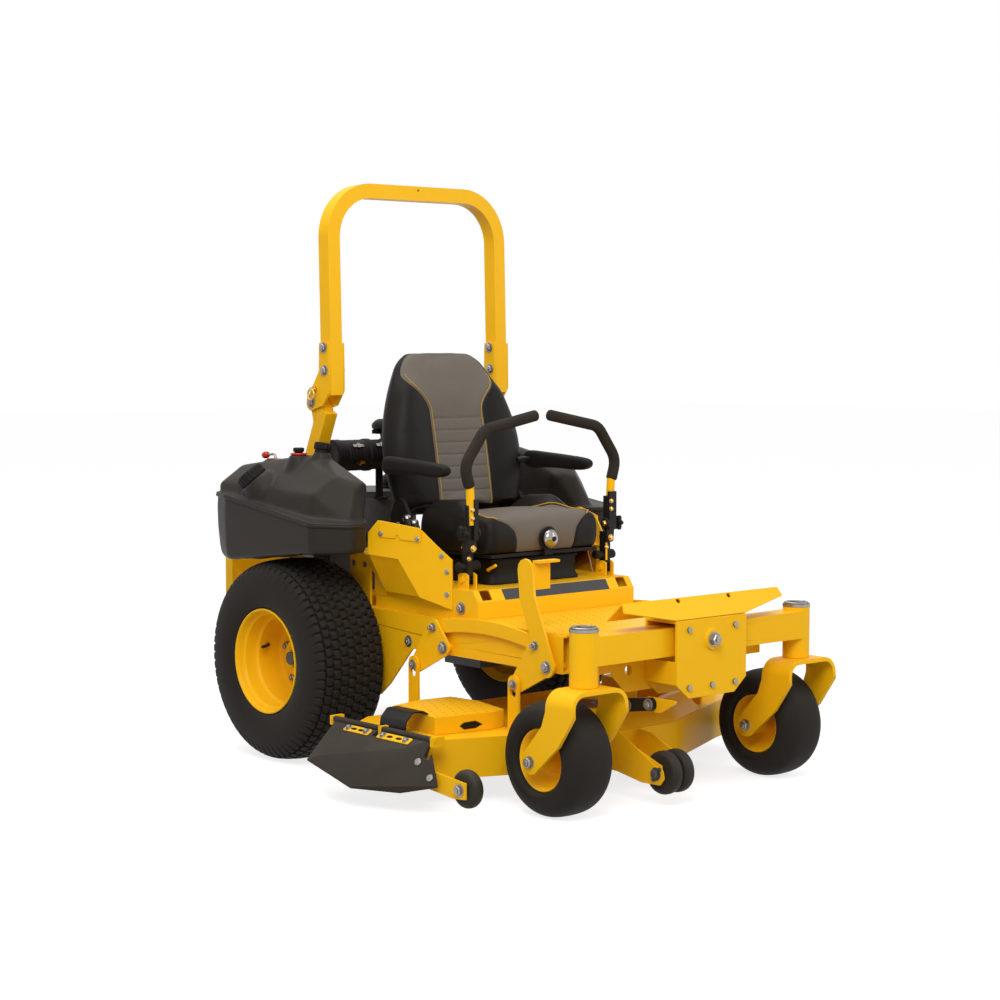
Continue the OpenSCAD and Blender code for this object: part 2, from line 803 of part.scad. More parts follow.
module engine() {
    color([0.3, 0.3, 0.3]) {
        difference() {
            union() {
                rod_z(engine_plate_z, engine_plate_z + 170, [0, engine_y], 118);
                block([-140, engine_y - 100, engine_plate_z], [140, engine_y + 100, engine_plate_z + 22]);
                for (turn = [-48, 48])
                    cylinder_bank(turn);
                rod_z(engine_plate_z + 170, engine_plate_z + 190, [0, engine_y], 150);
                rod_z(engine_plate_z + 190, engine_plate_z + 300, [0, engine_y], blower_r);
                rod_z(engine_plate_z + 300, engine_plate_z + 322, [0, engine_y], blower_r - 26);
                rod_x(112, 184, [engine_y + 56, engine_plate_z + 72], 36);
                block([-176, engine_y + 20, engine_plate_z + 44],
                    [-104, engine_y + 84, engine_plate_z + 150]);
            }
            rod_z(engine_plate_z - 1, engine_plate_z + 140, [0, engine_y], output_shaft_r + 20);
        }
        rod_z(engine_plate_z + 120, engine_plate_z + 140.5, [0, engine_y], output_shaft_r + 20.5);
        rod_z(crank_low_z, engine_plate_z + 130, [0, engine_y], output_shaft_r);
    }
}

module engine_pulley() {
    color(steel)
    difference() {
        translate([0, engine_y, crank_low_z + 10])
            rotate_extrude()
            polygon([[0, 0], [engine_pulley_r, 0], [engine_pulley_r, 5], [engine_pulley_r - 14, 13],
                [engine_pulley_r - 14, 17], [engine_pulley_r, 25], [engine_pulley_r, 70], [30, 70],
                    [30, 84], [0, 84]]);
        rod_z(crank_low_z - 1, crank_low_z + 120, [0, engine_y], output_shaft_r + run_clear);
    }
}

// Air cleaner across the machine behind the seat, with its intake hood
cleaner_at = [100, 912];
cleaner_x0 = 72 - hoop_x;
hose_r = 29;
inlet_top = [90, engine_y - 50, engine_plate_z + 353];

module air_cleaner() {
    color(charcoal) {
        rod_x(cleaner_x0, 96, cleaner_at, cleaner_r);
        rod_x(cleaner_x0 - 3, cleaner_x0 + 26, cleaner_at, cleaner_r + 3);
        rod_x(-140, -120, cleaner_at, cleaner_r + 3);
        rod_x(60, 76, cleaner_at, cleaner_r + 3);
        for (i = [0 : 4])
            rod_x(99 + i * 12, 106 + i * 12, cleaner_at, 34);
        rod_x(96, 150, cleaner_at, hose_r);
        bar([150, cleaner_at[0], cleaner_at[1]], inlet_top, hose_r);
        translate([150, cleaner_at[0], cleaner_at[1]]) sphere(r = hose_r + 0.6);
        translate(inlet_top) sphere(r = hose_r + 0.6);
        rod_z(engine_plate_z + 322, inlet_top[2], inlet_top, hose_r);
        rod_z(cleaner_at[1] + 20, 1004, [-10, cleaner_at[0] + 30], 30);
        rod_z(1004, 1023, [-10, cleaner_at[0] + 30], 42);
        both() block([40, 122, engine_plate_z + 300], [66, 142, cleaner_at[1] - 26]);
    }
}

module silencer() {
    color([0.45, 0.44, 0.43]) {
        rod_x(-150, 150, [frame_rear - 70, engine_plate_z + 96], silencer_r);
        both() {
            rod_x(150, 156, [frame_rear - 70, engine_plate_z + 96], silencer_r - 10);
            block([100, frame_rear - 90, engine_plate_z], [120, frame_rear - 50, engine_plate_z + 50]);
        }
        bar([60, frame_rear - 70, engine_plate_z + 96], [60, frame_rear + 64, engine_plate_z + 140], 17);
    }
}

// Pump and gearbox units that drive the rear wheels
module transaxle() {
    block([rail_x - tube_wall - 143, -95, axle_z - 88], [rail_x - tube_wall - 3, 85, axle_z + 40]);
    rod_x(rail_x - 20, rail_x + 2, [0, axle_z], axle_hole_r);
    rod_x(rail_x, rear_wheel_x - dish_x - 2, [0, axle_z], rear_axle_r);
    rod_z(axle_z + 40, axle_z + 62, [rail_in - 70, -30], 55);
    rod_z(axle_z + 62, axle_z + 84, [rail_in - 70, -30], 40);
}

module transaxles() {
    color([0.4, 0.4, 0.4]) both() transaxle();
}

// Suspension under the seat, with a ribbed bellows between two frames
module seat_base() {
    color(charcoal) {
        block([-172, -566, base_z], [172, -240, base_z + 10]);
        for (i = [0 : bellows_ribs - 1]) {
            block([-150, -548, base_z + 9 + i * rib_h], [150, -258, base_z + 12 + (i + 1) * rib_h]);
            block([-164, -562, base_z + 13 + i * rib_h], [164, -244, base_z + 18 + i * rib_h]);
        }
        block([-172, -566, slide_z - 8], [172, -240, slide_z]);
        both() block([122, -560, slide_z], [142, -250, slide_z + 9]);
    }
}

module seat_pan() {
    color(charcoal) {
        block([-cushion_w / 2 + 14, cushion_front + 10, pan_z],
            [cushion_w / 2 - 14, recline_y + 20, pan_z + pan_t]);
        both() {
            block([146, -520, slide_z + 1], [152, -300, pan_z + 1]);
            block([cushion_w / 2 - 14.5, recline_y - 34, pan_z],
                [cushion_w / 2 - 8, recline_y + 20, pan_z + 30]);
            difference() {
                plate_x(cushion_w / 2 - 14, cushion_w / 2 - 8,
                    swell([[recline_y, pan_z + 20], [recline_y, recline_z]], 20));
                rod_x(0, 400, [recline_y, recline_z], armrest_pin_r);
            }
            rod_x(cushion_w / 2 - 26, cushion_w / 2 - 2, [recline_y, recline_z], armrest_pin_r);
        }
        rod_y(apron_y - 6, apron_y, [0, knob_z], knob_r + 8);
        block([-16, apron_y - 6, pan_z], [16, apron_y, knob_z]);
        block([-16, apron_y - 6, pan_z], [16, cushion_front + 12, pan_z + pan_t]);
        rod_y(apron_y - 30, apron_y, [0, knob_z], 8);
    }
}

module seat_knob() {
    color(charcoal)
    difference() {
        union() {
            rod_y(apron_y - 24, apron_y - 6 - seat_gap, [0, knob_z], knob_r);
            rod_y(apron_y - 32, apron_y - 24, [0, knob_z], knob_r - 8);
        }
        rod_y(apron_y - 31, apron_y, [0, knob_z], 8 + run_clear);
    }
}

// Cushion sections run from front to rear: crowned on top, drawn in at the sides
cushion_rows = 15;
cushion_cols = 22;
seam_x = 132;

function groove(d, half, deep) = deep * exp(-pow(d / half, 2));

function cushion_top(x, t, half) =
    let (u = abs(x) / half)
    cushion_h * (0.76 + 0.24 * sin(180 * (0.15 + 0.7 * t))) * (1 - 0.30 * pow(u, 6))
    + 8 * exp(-pow((abs(x) - half + 42) / 34, 2)) - groove(abs(x) - seam_x, 9, 7)
    - 34 * pow(max(0, 0.14 - t) / 0.14, 2);

function cushion_ring(t) =
    let (y = cushion_front + (cushion_rear - cushion_front) * t,
        half = cushion_w / 2 * (1 - 0.05 * pow(max(0, 0.2 - t) / 0.2, 2) - 0.03 * sin(180 * t)))
    concat([for (k = [0 : 4]) let (x = -half + 10 + (2 * half - 20) * k / 4) [x, y, cushion_z]],
        [[half, y, cushion_z + 34]],
        [for (k = [0 : cushion_cols]) let (x = half - 6 - (2 * half - 12) * k / cushion_cols)
            [x, y, cushion_z + cushion_top(x, t, half)]],
        [[-half, y, cushion_z + 34]]);

module seat_cushion() {
    color(taupe) loft([for (i = [cushion_rows : -1 : 0]) cushion_ring(i / cushion_rows)]);
}

// Backrest sections run up the back: bolsters at the sides, sewn channels across the middle
back_rows = 34;
back_cols = 20;

function back_half(t) = back_w / 2
    * (t < 0.36 ? 0.88 + 0.12 * sin(90 * t / 0.36) : 1 - 0.44 * pow((t - 0.36) / 0.64, 1.8))
    * (1 - 0.22 * pow(max(0, t - 0.94) / 0.06, 2));

function back_front(x, t, half, row) =
    let (u = abs(x) / half, swell_t = sin(180 * (0.08 + 0.84 * t)),
        thin = 1 - 0.55 * pow(max(0, t - 0.72) / 0.28, 2))
    thin * (back_t * (0.5 + 0.1 * swell_t) + 22 * pow(u, 2) * (1 - pow(u, 8)) * swell_t - 36 * pow(u, 10))
    - groove(abs(x) - half * 0.56, 8, 6) - (u < 0.5 && row % 2 == 0 && row > 4 && row < 22 ? 4 : 0);

function back_ring(row) =
    let (t = row / back_rows, z = 30 + (back_l - 30) * t, half = back_half(t),
        rear = back_t * (0.34 - 0.26 * pow(t, 3)))
    concat([for (k = [0 : back_cols])
            let (x = -half + 2 * half * k / back_cols) [x, -back_front(x, t, half, row), z]],
        [for (k = [0 : 8])
            let (x = half * 0.96 * cos(180 * k / 8)) [x, rear * (0.35 + 0.65 * sin(180 * k / 8)), z]]);

module seat_back() {
    color(taupe)
    translate([0, recline_y, recline_z]) rotate([back_lean, 0, 0])
    difference() {
        loft([for (row = [0 : back_rows]) back_ring(row)]);
        both() block([cushion_w / 2 - 30, -40, -40], [cushion_w / 2 + 20, 60, 52]);
    }
    color(charcoal) both() {
        rod_x(back_w / 2 - 40, armrest_x + armrest_w + 4, armrest_pin, armrest_pin_r);
        difference() {
            plate_x(cushion_w / 2 - 24, cushion_w / 2 - 18, swell([[recline_y, recline_z],
                [recline_y + 20, recline_z + 120]], 18));
            rod_x(0, 400, [recline_y, recline_z], armrest_pin_r + run_clear);
        }
    }
}

armrest_outline = concat(arc([-488, 896], 14, 100, 300, 6), [[-300, 874], [-216, 868]],
    arc([armrest_pin[0] + 4, armrest_pin[1]], 30, -60, 90, 8), [[-400, 920]]);

module armrest() {
    difference() {
        plate_x(armrest_x, armrest_x + armrest_w, armrest_outline);
        rod_x(armrest_x - 1, armrest_x + armrest_w + 1, armrest_pin, armrest_pin_r + run_clear);
    }
}

module armrest_right() {
    color(charcoal) on_right() armrest();
}

module armrest_left() {
    color(charcoal) armrest();
}

// Fasteners of the fixed frame
module chassis_bolts() {
    color(steel) {
        for (spot = [[-91, housing_z1 - 26], [91, housing_z1 - 26], [-91, housing_z0 + 30],
            [91, housing_z0 + 30],
                [0, housing_z0 + 30]])
            hex_y(housing_front - 7, housing_front, spot, 9);
        both() {
            hex_x(console_half, console_half + 9, [-594, 500], 11);
            hex_x(rail_x, rail_x + 3.5, [-372, rail_z + 21], 11);
            for (spot = [[shelf_y0 + 22, shelf_z - 50], [shelf_y1 - 22, shelf_z - 50]])
                hex_x(rail_x, rail_x + 3.5, spot, 9);
        }
    }
}

// Front axle, rocking on the bolt in the housing
module axle_beam() {
    color(yellow)
    difference() {
        union() {
            difference() {
                block([-caster_x, beam_y - beam_d / 2, beam_z - beam_h / 2],
                    [caster_x, beam_y + beam_d / 2, beam_z + beam_h / 2]);
                block([-caster_x - 1, beam_y - beam_d / 2 + beam_wall, beam_z - beam_h / 2 + beam_wall],
                    [caster_x + 1, beam_y + beam_d / 2 - beam_wall, beam_z + beam_h / 2 - beam_wall]);
            }
            rod_y(beam_y - beam_d / 2, beam_y + beam_d / 2, [0, beam_z], rock_bolt_r + 9);
            both() rod_z(tube_z0, tube_z1, [caster_x, swivel_y], swivel_tube_r);
        }
        rod_y(beam_y - beam_d, beam_y + beam_d, [0, beam_z], rock_bolt_r + run_clear);
        both() {
            rod_z(tube_z0 - 1, tube_z1 + 1, [caster_x, swivel_y], spindle_r + run_clear);
            rod_z(tube_z0 + 30, tube_z1 - 30, [caster_x, swivel_y], swivel_tube_r - 9);
        }
    }
}

module bearing_caps() {
    color(steel) both() {
        rod_z(tube_z1, cap_top - 3, [caster_x, swivel_y], swivel_tube_r + 1);
        rod_z(cap_top - 3, cap_top, [caster_x, swivel_y], swivel_tube_r - 6);
    }
}

// Fork: one strap bent over the tyre, its legs leaning back to the axle
strap_section = concat(arc([-fork_out + fork_bend, fork_top - fork_bend], fork_bend, 180, 90),
    arc([fork_out - fork_bend, fork_top - fork_bend], fork_bend, 90, 0), [[fork_out, 100], [fork_in, 100]],
    arc([fork_in - fork_bend + fork_t, fork_top - fork_bend], fork_bend - fork_t, 0, 90),
    arc([-fork_in + fork_bend - fork_t, fork_top - fork_bend], fork_bend - fork_t, 90, 180),
    [[-fork_in, 100], [-fork_out, 100]]);
strap_side = concat([[-62, fork_top + 1], [-66, fork_top - 66], [-10, fork_top - 148]],
    arc([caster_trail, caster_r], 34, 215, 395), [[54, fork_top - 100], [40, fork_top - 60],
        [36, fork_top + 1]]);

module fork() {
    translate([caster_x, swivel_y, 0]) {
        difference() {
            union() {
                intersection() {
                    plate_y(-200, 250, strap_section);
                    plate_x(-fork_out - 1, fork_out + 1, strap_side);
                }
                rod_z(fork_top - 2, tube_z1 - 4, [0, 0], spindle_r);
            }
            rod_x(-fork_out - 5, fork_out + 5, [caster_trail, caster_r], caster_axle_r);
        }
        rod_x(-fork_out - 6, fork_out + 6, [caster_trail, caster_r], caster_axle_r);
        hex_x(-fork_out - 12, -fork_out, [caster_trail, caster_r], caster_axle_r + 4);
        hex_x(fork_out, fork_out + 12, [caster_trail, caster_r], caster_axle_r + 4);
    }
}

module fork_right() {
    color(yellow) on_right() fork();
}

module fork_left() {
    color(yellow) fork();
}

// Tyre section: a crown, round shoulders and bulging walls, with beads between the rim's lips
function tyre_section(r, half, rim, lip, bead, crown, wall, soft) =
    let (tall = r - rim, round_r = tall * soft, round_x = half * soft * 1.2, drop = tall * 0.05,
        mid = rim + tall * 0.4)
    concat([[rim, -bead], [lip, -bead], [lip, -half + 10], [mid, -half]],
        [for (a = [0 : 15 : 90]) [r - drop - round_r + round_r * sin(a),
            -half + round_x - round_x * cos(a)]],
        [[r, -crown], [r, crown]],
        [for (a = [90 : -15 : 0]) [r - drop - round_r + round_r * sin(a),
            half - round_x + round_x * cos(a)]],
        [[mid, half], [lip, half - 10], [lip, bead], [rim, bead]],
        [[rim, bead - wall], [mid, half - wall], [r - wall - drop - 10, half - wall - 12],
            [r - wall - 4, crown], [r - wall - 4, -crown], [r - wall - drop - 10, -half + wall + 12],
            [mid, -half + wall], [rim, -bead + wall]]);

module rear_tyre(side) {
    translate([0, 0, axle_z]) turned_x(side * rear_wheel_x)
        polygon(tyre_section(rear_tyre_r, rear_tyre_w / 2, rear_rim_r - 6 + seat_gap,
            rear_rim_r + 2 + seat_gap,
            rear_rim_half - 5, 70, 18, 0.35));
}

// Deep dish: the disc lies towards the machine
module rear_rim(side) {
    translate([0, 0, axle_z])
    difference() {
        union() {
            turned_x(side * rear_wheel_x)
                polygon([[rear_rim_r - 14, -rear_rim_half], [rear_rim_r + 2, -rear_rim_half - 4],
                    [rear_rim_r + 2, -rear_rim_half],
                    [rear_rim_r - 6, -rear_rim_half + 4], [rear_rim_r - 6, rear_rim_half - 4],
                        [rear_rim_r + 2, rear_rim_half],
                    [rear_rim_r + 2, rear_rim_half + 4], [rear_rim_r - 14, rear_rim_half]]);
            translate([side * (rear_wheel_x + dish_x), 0, 0]) rotate([0, 90, 0])
                translate([0, 0, -5]) cylinder(h = 10, r = rear_rim_r - 8);
            translate([side * (rear_wheel_x + dish_x), 0, 0]) rotate([0, 90, 0])
                translate([0, 0, -34]) cylinder(h = 68, r = hub_r);
            for (i = [0 : wheel_nuts - 1])
                translate([side * (rear_wheel_x + dish_x), 0, 0]) rotate([i * 360 / wheel_nuts, 0, 0])
                    translate([0, nut_circle, 0]) rotate([0, 90, 0]) translate([0, 0, -16])
                    cylinder(h = 32, r = 12, $fn = 6);
        }
        rod_x(-rear_track, rear_track, [0, 0], rear_axle_r + run_clear);
    }
}

module rear_tyre_right() {
    color(rubber) rear_tyre(-1);
}

module rear_tyre_left() {
    color(rubber) rear_tyre(1);
}

module rear_rim_right() {
    color(yellow) rear_rim(-1);
}

module rear_rim_left() {
    color(yellow) rear_rim(1);
}

module caster_tyre(side) {
    translate([0, caster_y, caster_r]) turned_x(side * caster_x)
        polygon(tyre_section(caster_r, caster_w / 2, caster_rim_r - 5 + seat_gap,
            caster_rim_r + 1 + seat_gap,
            caster_rim_half - 5, 24, 10, 0.5));
}

module caster_rim(side) {
    translate([0, caster_y, caster_r])
    difference() {
        union() {
            turned_x(side * caster_x)
                polygon([[caster_rim_r - 11, -caster_rim_half], [caster_rim_r + 1, -caster_rim_half - 3],
                    [caster_rim_r + 1, -caster_rim_half], [caster_rim_r - 5, -caster_rim_half + 4],
                    [caster_rim_r - 5, caster_rim_half - 4], [caster_rim_r + 1, caster_rim_half],
                    [caster_rim_r + 1, caster_rim_half + 3], [caster_rim_r - 11, caster_rim_half]]);
            turned_x(side * caster_x)
                polygon([[0, -fork_in + seat_gap], [26, -fork_in + seat_gap], [30, -24],
                    [caster_rim_r - 8, -8],
                    [caster_rim_r - 8, 8], [30, 24], [26, fork_in - seat_gap], [0, fork_in - seat_gap]]);
        }
        rod_x(-caster_track, caster_track, [0, 0], caster_axle_r + run_clear);
    }
}

module caster_tyre_right() {
    color(rubber) caster_tyre(-1);
}

module caster_tyre_left() {
    color(rubber) caster_tyre(1);
}

module caster_rim_right() {
    color(yellow) caster_rim(-1);
}

module caster_rim_left() {
    color(yellow) caster_rim(1);
}

// Hoop with the plates that hinge it to the posts
hoop_straight = hoop_x + hoop_w / 2 - hoop_bend;
hinge_outline = concat([[-24, 1266], [-26, 1120]], [[8, 1074]], arc([hinge_y, hinge_z], 26, -80, 60, 8),
    [[26, 1180], [24, 1266]]);

module hoop_tube(w, d, shift) {
    both() {
        block([hoop_x - w / 2, -d / 2, shift], [hoop_x + w / 2, d / 2, hoop_top - hoop_low - hoop_bend]);
        translate([hoop_straight, 0, hoop_top - hoop_low - hoop_bend]) rotate([90, 0, 0])
            rotate_extrude(angle = 90) translate([hoop_bend - hoop_w / 2 - w / 2, -d / 2]) square([w, d]);
    }
    block([-hoop_straight, -d / 2, hoop_top - hoop_low - hoop_w / 2 - w / 2],
        [hoop_straight, d / 2, hoop_top - hoop_low - hoop_w / 2 + w / 2]);
}

module rops_hoop() {
    color(yellow) {
        translate([0, hoop_foot_y, hoop_low]) rotate([hoop_lean, 0, 0])
        difference() {
            hoop_tube(hoop_w, hoop_d, 0);
            hoop_tube(hoop_w - 2 * hoop_wall, hoop_d - 2 * hoop_wall, 20);
            rod_y(-hoop_d, hoop_d, [0, hoop_top - hoop_low - 13], beacon_hole_r);
        }
        both()
        difference() {
            for (x = [hoop_x - hoop_w / 2 - hinge_plate_t, hoop_x + hoop_w / 2])
                plate_x(x, x + hinge_plate_t, hinge_outline);
            rod_x(0, 500, [lock_y, lock_z], lock_pin_r + run_clear);
        }
    }
    color(steel) both() {
        rod_x(hoop_x - hoop_w / 2 - hinge_plate_t - 6, hoop_x + hoop_w / 2 + hinge_plate_t + 6,
            [hinge_y, hinge_z], hinge_bolt_r);
        for (spot = [[0, 1252], [-4, 1182], [hinge_y, hinge_z]]) {
            hex_x(hoop_x + hoop_w / 2 + hinge_plate_t, hoop_x + hoop_w / 2 + hinge_plate_t + 7, spot, 12);
            hex_x(hoop_x - hoop_w / 2 - hinge_plate_t - 7, hoop_x - hoop_w / 2 - hinge_plate_t, spot, 12);
        }
    }
}

// Lock pin of the hoop, with a pull ring at its outer end
module lock_pin() {
    rod_x(hoop_x - hoop_w / 2 - hinge_plate_t - 4, hoop_x + hoop_w / 2 + hinge_plate_t + 18,
        [lock_y, lock_z], lock_pin_r);
    rod_x(hoop_x + hoop_w / 2 + hinge_plate_t + seat_gap, hoop_x + hoop_w / 2 + hinge_plate_t + 6,
        [lock_y, lock_z], lock_pin_r + 5);
    translate([hoop_x + hoop_w / 2 + hinge_plate_t + 15, lock_y, lock_z - 16]) rotate([0, 90, 0])
        rotate_extrude() translate([16, 0]) circle(r = 3, $fn = 16);
}

module lock_pin_right() {
    color(steel) on_right() lock_pin();
}

module lock_pin_left() {
    color(steel) lock_pin();
}

// Steering levers: a lower arm that rocks and an upper handle that swings out
module lever_arm() {
    difference() {
        block([lever_x - lever_w / 2, lever_front, lever_z - 14],
            [lever_x + lever_w / 2, lever_y + lever_d / 2, swing_z + 18]);
        rod_x(lever_x - lever_w, lever_x + lever_w, [lever_y, lever_z], lever_pin_r + run_clear);
        rod_y(lever_front - 1, lever_y + lever_d, [lever_x, swing_z], lever_pin_r);
    }
    rod_y(handle_y - handle_t / 2 - 7, lever_y + lever_d / 2 + 6, [lever_x, swing_z], lever_pin_r);
    hex_y(handle_y - handle_t / 2 - 7, handle_y - handle_t / 2 - seat_gap, [lever_x, swing_z],
        lever_pin_r + 4);
    hex_y(lever_y + lever_d / 2, lever_y + lever_d / 2 + 6, [lever_x, swing_z], lever_pin_r + 4);
}

module lever_handle() {
    difference() {
        plate_y(handle_y - handle_t / 2, handle_y + handle_t / 2,
            swell([[lever_x, swing_z], [lever_x + 2, 775]], 14));
        rod_y(handle_y - 20, handle_y + 20, [lever_x, swing_z], lever_pin_r + run_clear);
    }
    bar([lever_x + 2, handle_y, 752], grip_low + [0, 0, 10], lever_tube_r);
}

module lever_grip() {
    difference() {
        union() {
            bar(grip_low, grip_elbow, grip_r);
            elbow(grip_elbow, grip_bend, grip_r);
            bar(grip_elbow, grip_bend, grip_r);
            elbow(grip_bend, grip_end, grip_r);
            bar(grip_bend, grip_end, grip_r);
        }
        bar([lever_x + 2, handle_y, 752], grip_low + [0, 0, 10.5], lever_tube_r + run_clear);
    }
}

module lever_arm_right() {
    color(charcoal) on_right() lever_arm();
}

module lever_arm_left() {
    color(charcoal) lever_arm();
}

module lever_handle_right() {
    color(yellow) on_right() lever_handle();
}

module lever_handle_left() {
    color(yellow) lever_handle();
}

module lever_grip_right() {
    color(rubber) on_right() lever_grip();
}

module lever_grip_left() {
    color(rubber) lever_grip();
}

// Deck lift: two cross shafts with cranks, joined by a link on each side
module crank(pivot) {
    low = pivot + crank_low;
    link = pivot + crank_link;
    plate_x(crank_x0, crank_x1, swell([pivot, low, link], crank_r));
    rod_x(link_x0 + 1, crank_x1 + 8, link, lift_pin_r);
    hex_x(crank_x1, crank_x1 + 7, link, lift_pin_r + 3);
    rod_x(crank_x0, hanger_x1 + 9, low, lift_pin_r);
    rod_x(hanger_x1 + seat_gap, hanger_x1 + 3, low, lift_pin_r + 7);
    hex_x(crank_x1, crank_x1 + 7, pivot, lift_shaft_r + 2);
}

module lift_shaft(pivot) {
    rod_x(-crank_x1, crank_x1, pivot, lift_shaft_r);
    both() crank(pivot);
}

pedal_top = front_pivot + [88, 262];
pedal_mid = front_pivot + [80, 184];
pedal_half = 30;
pad_w = 58;
lip_w = 78;

module front_lift() {
    color(yellow) {
        lift_shaft(front_pivot);
        on_right() {
            plate_x(crank_x0, crank_x1, swell([pedal_mid, front_pivot], pedal_half));
            plate_x(crank_x0, crank_x1, swell([pedal_top, pedal_mid], pedal_half));
            block([crank_x0 - pad_w, pedal_top[0] - pedal_half - 2, pedal_top[1] - 54],
                [crank_x0 + 1, pedal_top[0] - pedal_half + 5, pedal_top[1] + 27]);
            block([crank_x0 - lip_w, pedal_top[0] - pedal_half - 20, pedal_top[1] + 20],
                [crank_x0 + 1, pedal_top[0] - pedal_half + 5, pedal_top[1] + 27]);
        }
    }
}

module rear_lift() {
    color(yellow) lift_shaft(rear_pivot);
}

link_front = front_pivot + crank_link;
link_rear = rear_pivot + crank_link;
link_arch = 24;
link_steps = 12;

function link_mid(t) = link_front + (link_rear - link_front) * t + [0, link_arch * 4 * t * (1 - t)];

module lift_link() {
    difference() {
        union() {
            plate_x(link_x0, link_x1, concat(
                [for (i = [0 : link_steps]) link_mid(i / link_steps) - [0, link_half]],
                [for (i = [link_steps : -1 : 0]) link_mid(i / link_steps) + [0, link_half]]));
            for (p = [link_front, link_rear])
                rod_x(link_x0, link_x1, p, link_half);
        }
        rod_x(0, 500, link_front, lift_pin_r + run_clear);
        rod_x(0, 500, link_rear, lift_pin_r + 0.5);
    }
}

module lift_links() {
    color(yellow) both() lift_link();
}

// Deck plan, counter-clockwise from the rear right corner
deck_plan = [[-520, -418], [-deck_side, -500], [-deck_side, -815], [-600, -838], [-421, -908],
    [-165, -1028], [-90, -1064],
    [90, -1064], [165, -1028], [421, -908], [600, -838], [deck_side, -815], [deck_side, -500], [520, -418]];
chute_mouth = [-790, -470];
hanger_spots = [front_pivot + crank_low, rear_pivot + crank_low];
spindle_spots = [[-outer_spindle_x, outer_spindle_y], [0, inner_spindle_y],
    [outer_spindle_x, outer_spindle_y]];

module hanger(spot) {
    difference() {
        plate_x(hanger_x0, hanger_x1, swell([[spot[0] + slot_shift, deck_top - 2],
            [spot[0] + slot_shift, spot[1] + 4]], hanger_half));
        plate_x(hanger_x0 - 1, hanger_x1 + 1, swell([[spot[0] + slot_shift, spot[1] - 26],
            [spot[0] + slot_shift, spot[1] + 3]],
            lift_pin_r + slot_room));
        block([hanger_x0 - 1, spot[0] - 40, deck_top - 40], [hanger_x1 + 1, spot[0] + 40, deck_top - 2]);
    }
}

module wheel_arm() {
    outer = wheel_arm_x + wheel_arm_t;
    inner = side_wheel_x - side_wheel_w / 2;
    axle = [side_wheel_y, side_wheel_z];
    difference() {
        plate_x(wheel_arm_x, outer, [[side_wheel_y - 24, side_wheel_z - 22],
            [side_wheel_y + 26, side_wheel_z - 26],
            [-796, deck_low + 4], [-796, wheel_arm_top], [-880, wheel_arm_top],
                [side_wheel_y - 24, side_wheel_z + 22]]);
        rod_x(0, 800, axle, wheel_axle_r);
    }
    block([deck_side - 2, -860, deck_low + 4], [outer, -796, wheel_arm_top]);
    rod_x(inner - 10, outer + 4, axle, wheel_axle_r);
    hex_x(outer, outer + 8, axle, wheel_axle_r + 5);
    hex_x(inner - 12, inner - 1, axle, wheel_axle_r + 5);
}

nose_half = nose_roller_w + nose_gap / 2 + 4;

module nose_arm(x, y_end) {
    difference() {
        plate_x(x, x + 6, [[nose_y - 20, nose_z - 18], [nose_y + 24, nose_z - 24], [y_end, deck_low + 6],
            [y_end, deck_top - 2],
            [y_end - 60, deck_top - 8], [nose_y - 16, nose_z + 24]]);
        rod_x(x - 1, x + 7, [nose_y, nose_z], wheel_axle_r);
    }
}

module nose_arms() {
    nose_arm(nose_x - nose_half - 6, -1024);
    nose_arm(nose_x + nose_half, -1058);
    rod_x(nose_x - nose_half - 14, nose_x + nose_half + 14, [nose_y, nose_z], wheel_axle_r);
    for (x = [nose_x - nose_half - 12, nose_x + nose_half + 6])
        hex_x(x, x + 6, [nose_y, nose_z], wheel_axle_r + 5);
}

chute_brackets = [-884, -656, -432];
bracket_w = 12;

module deck_shell() {
    color(yellow) {
        difference() {
            union() {
                difference() {
                    plate_z(deck_low, deck_top, deck_plan);
                    plate_z(deck_low - 1, deck_top - deck_t, inset(deck_plan, deck_t));
                }
                for (spot = spindle_spots)
                    rod_z(deck_top - 44, deck_top + 10, spot, 46);
                for (y = chute_brackets)
                    block([chute_rod[0] - 9, y - bracket_w / 2, deck_top - deck_t],
                        [-deck_side + 20, y + bracket_w / 2, chute_rod[1] + 9]);
            }
            for (spot = spindle_spots)
                rod_z(deck_low, deck_top + 20, spot, blade_shaft_r + run_clear);
            block([-deck_side - 1, chute_mouth[0], deck_low - 1],
                [-deck_side + 30, chute_mouth[1], deck_top - 16]);
            rod_y(-900, -380, chute_rod, chute_rod_r);
        }
        both()
            for (spot = hanger_spots)
                hanger(spot);
        both() wheel_arm();
        nose_arms();
        rod_y(chute_brackets[0] - 8, chute_brackets[2] + 8, chute_rod, chute_rod_r);
    }
}

// Covers over the outer pulleys
cover_plan = [[328, -799], [389, -812], [563, -779], [530, -547], [414, -519], [304, -534], [291, -642]];

belt_gap = [440, 515];

// The rear side is open where the belt leaves
module belt_cover() {
    difference() {
        plate_z(deck_top, deck_top + belt_cover_h, cover_plan);
        plate_z(deck_top - 1, deck_top + belt_cover_h - 3, inset(cover_plan, 3));
        block([belt_gap[0], -600, deck_top - 1], [belt_gap[1], -500, deck_top + belt_cover_h - 12]);
    }
}

module belt_covers() {
    color(yellow) both() belt_cover();
}

// Chute flap, hinged on the rod along the deck's right edge: a top and a front face over an open underside
chute_points = [[chute_rod[0] - 5, -450, chute_rod[1] - 7], [chute_rod[0] - 5, -866, chute_rod[1] - 7],
    [-692, -806, 168], [-782, -530, 118], [-792, -500, 106], [-798, -704, 62], [-736, -842, 62],
        [-696, -948, 88]];
chute_skin = 7;
sleeve_r = 9;

module chute_body() {
    hull()
        for (p = chute_points)
            translate(p) sphere(r = 4, $fn = 8);
}

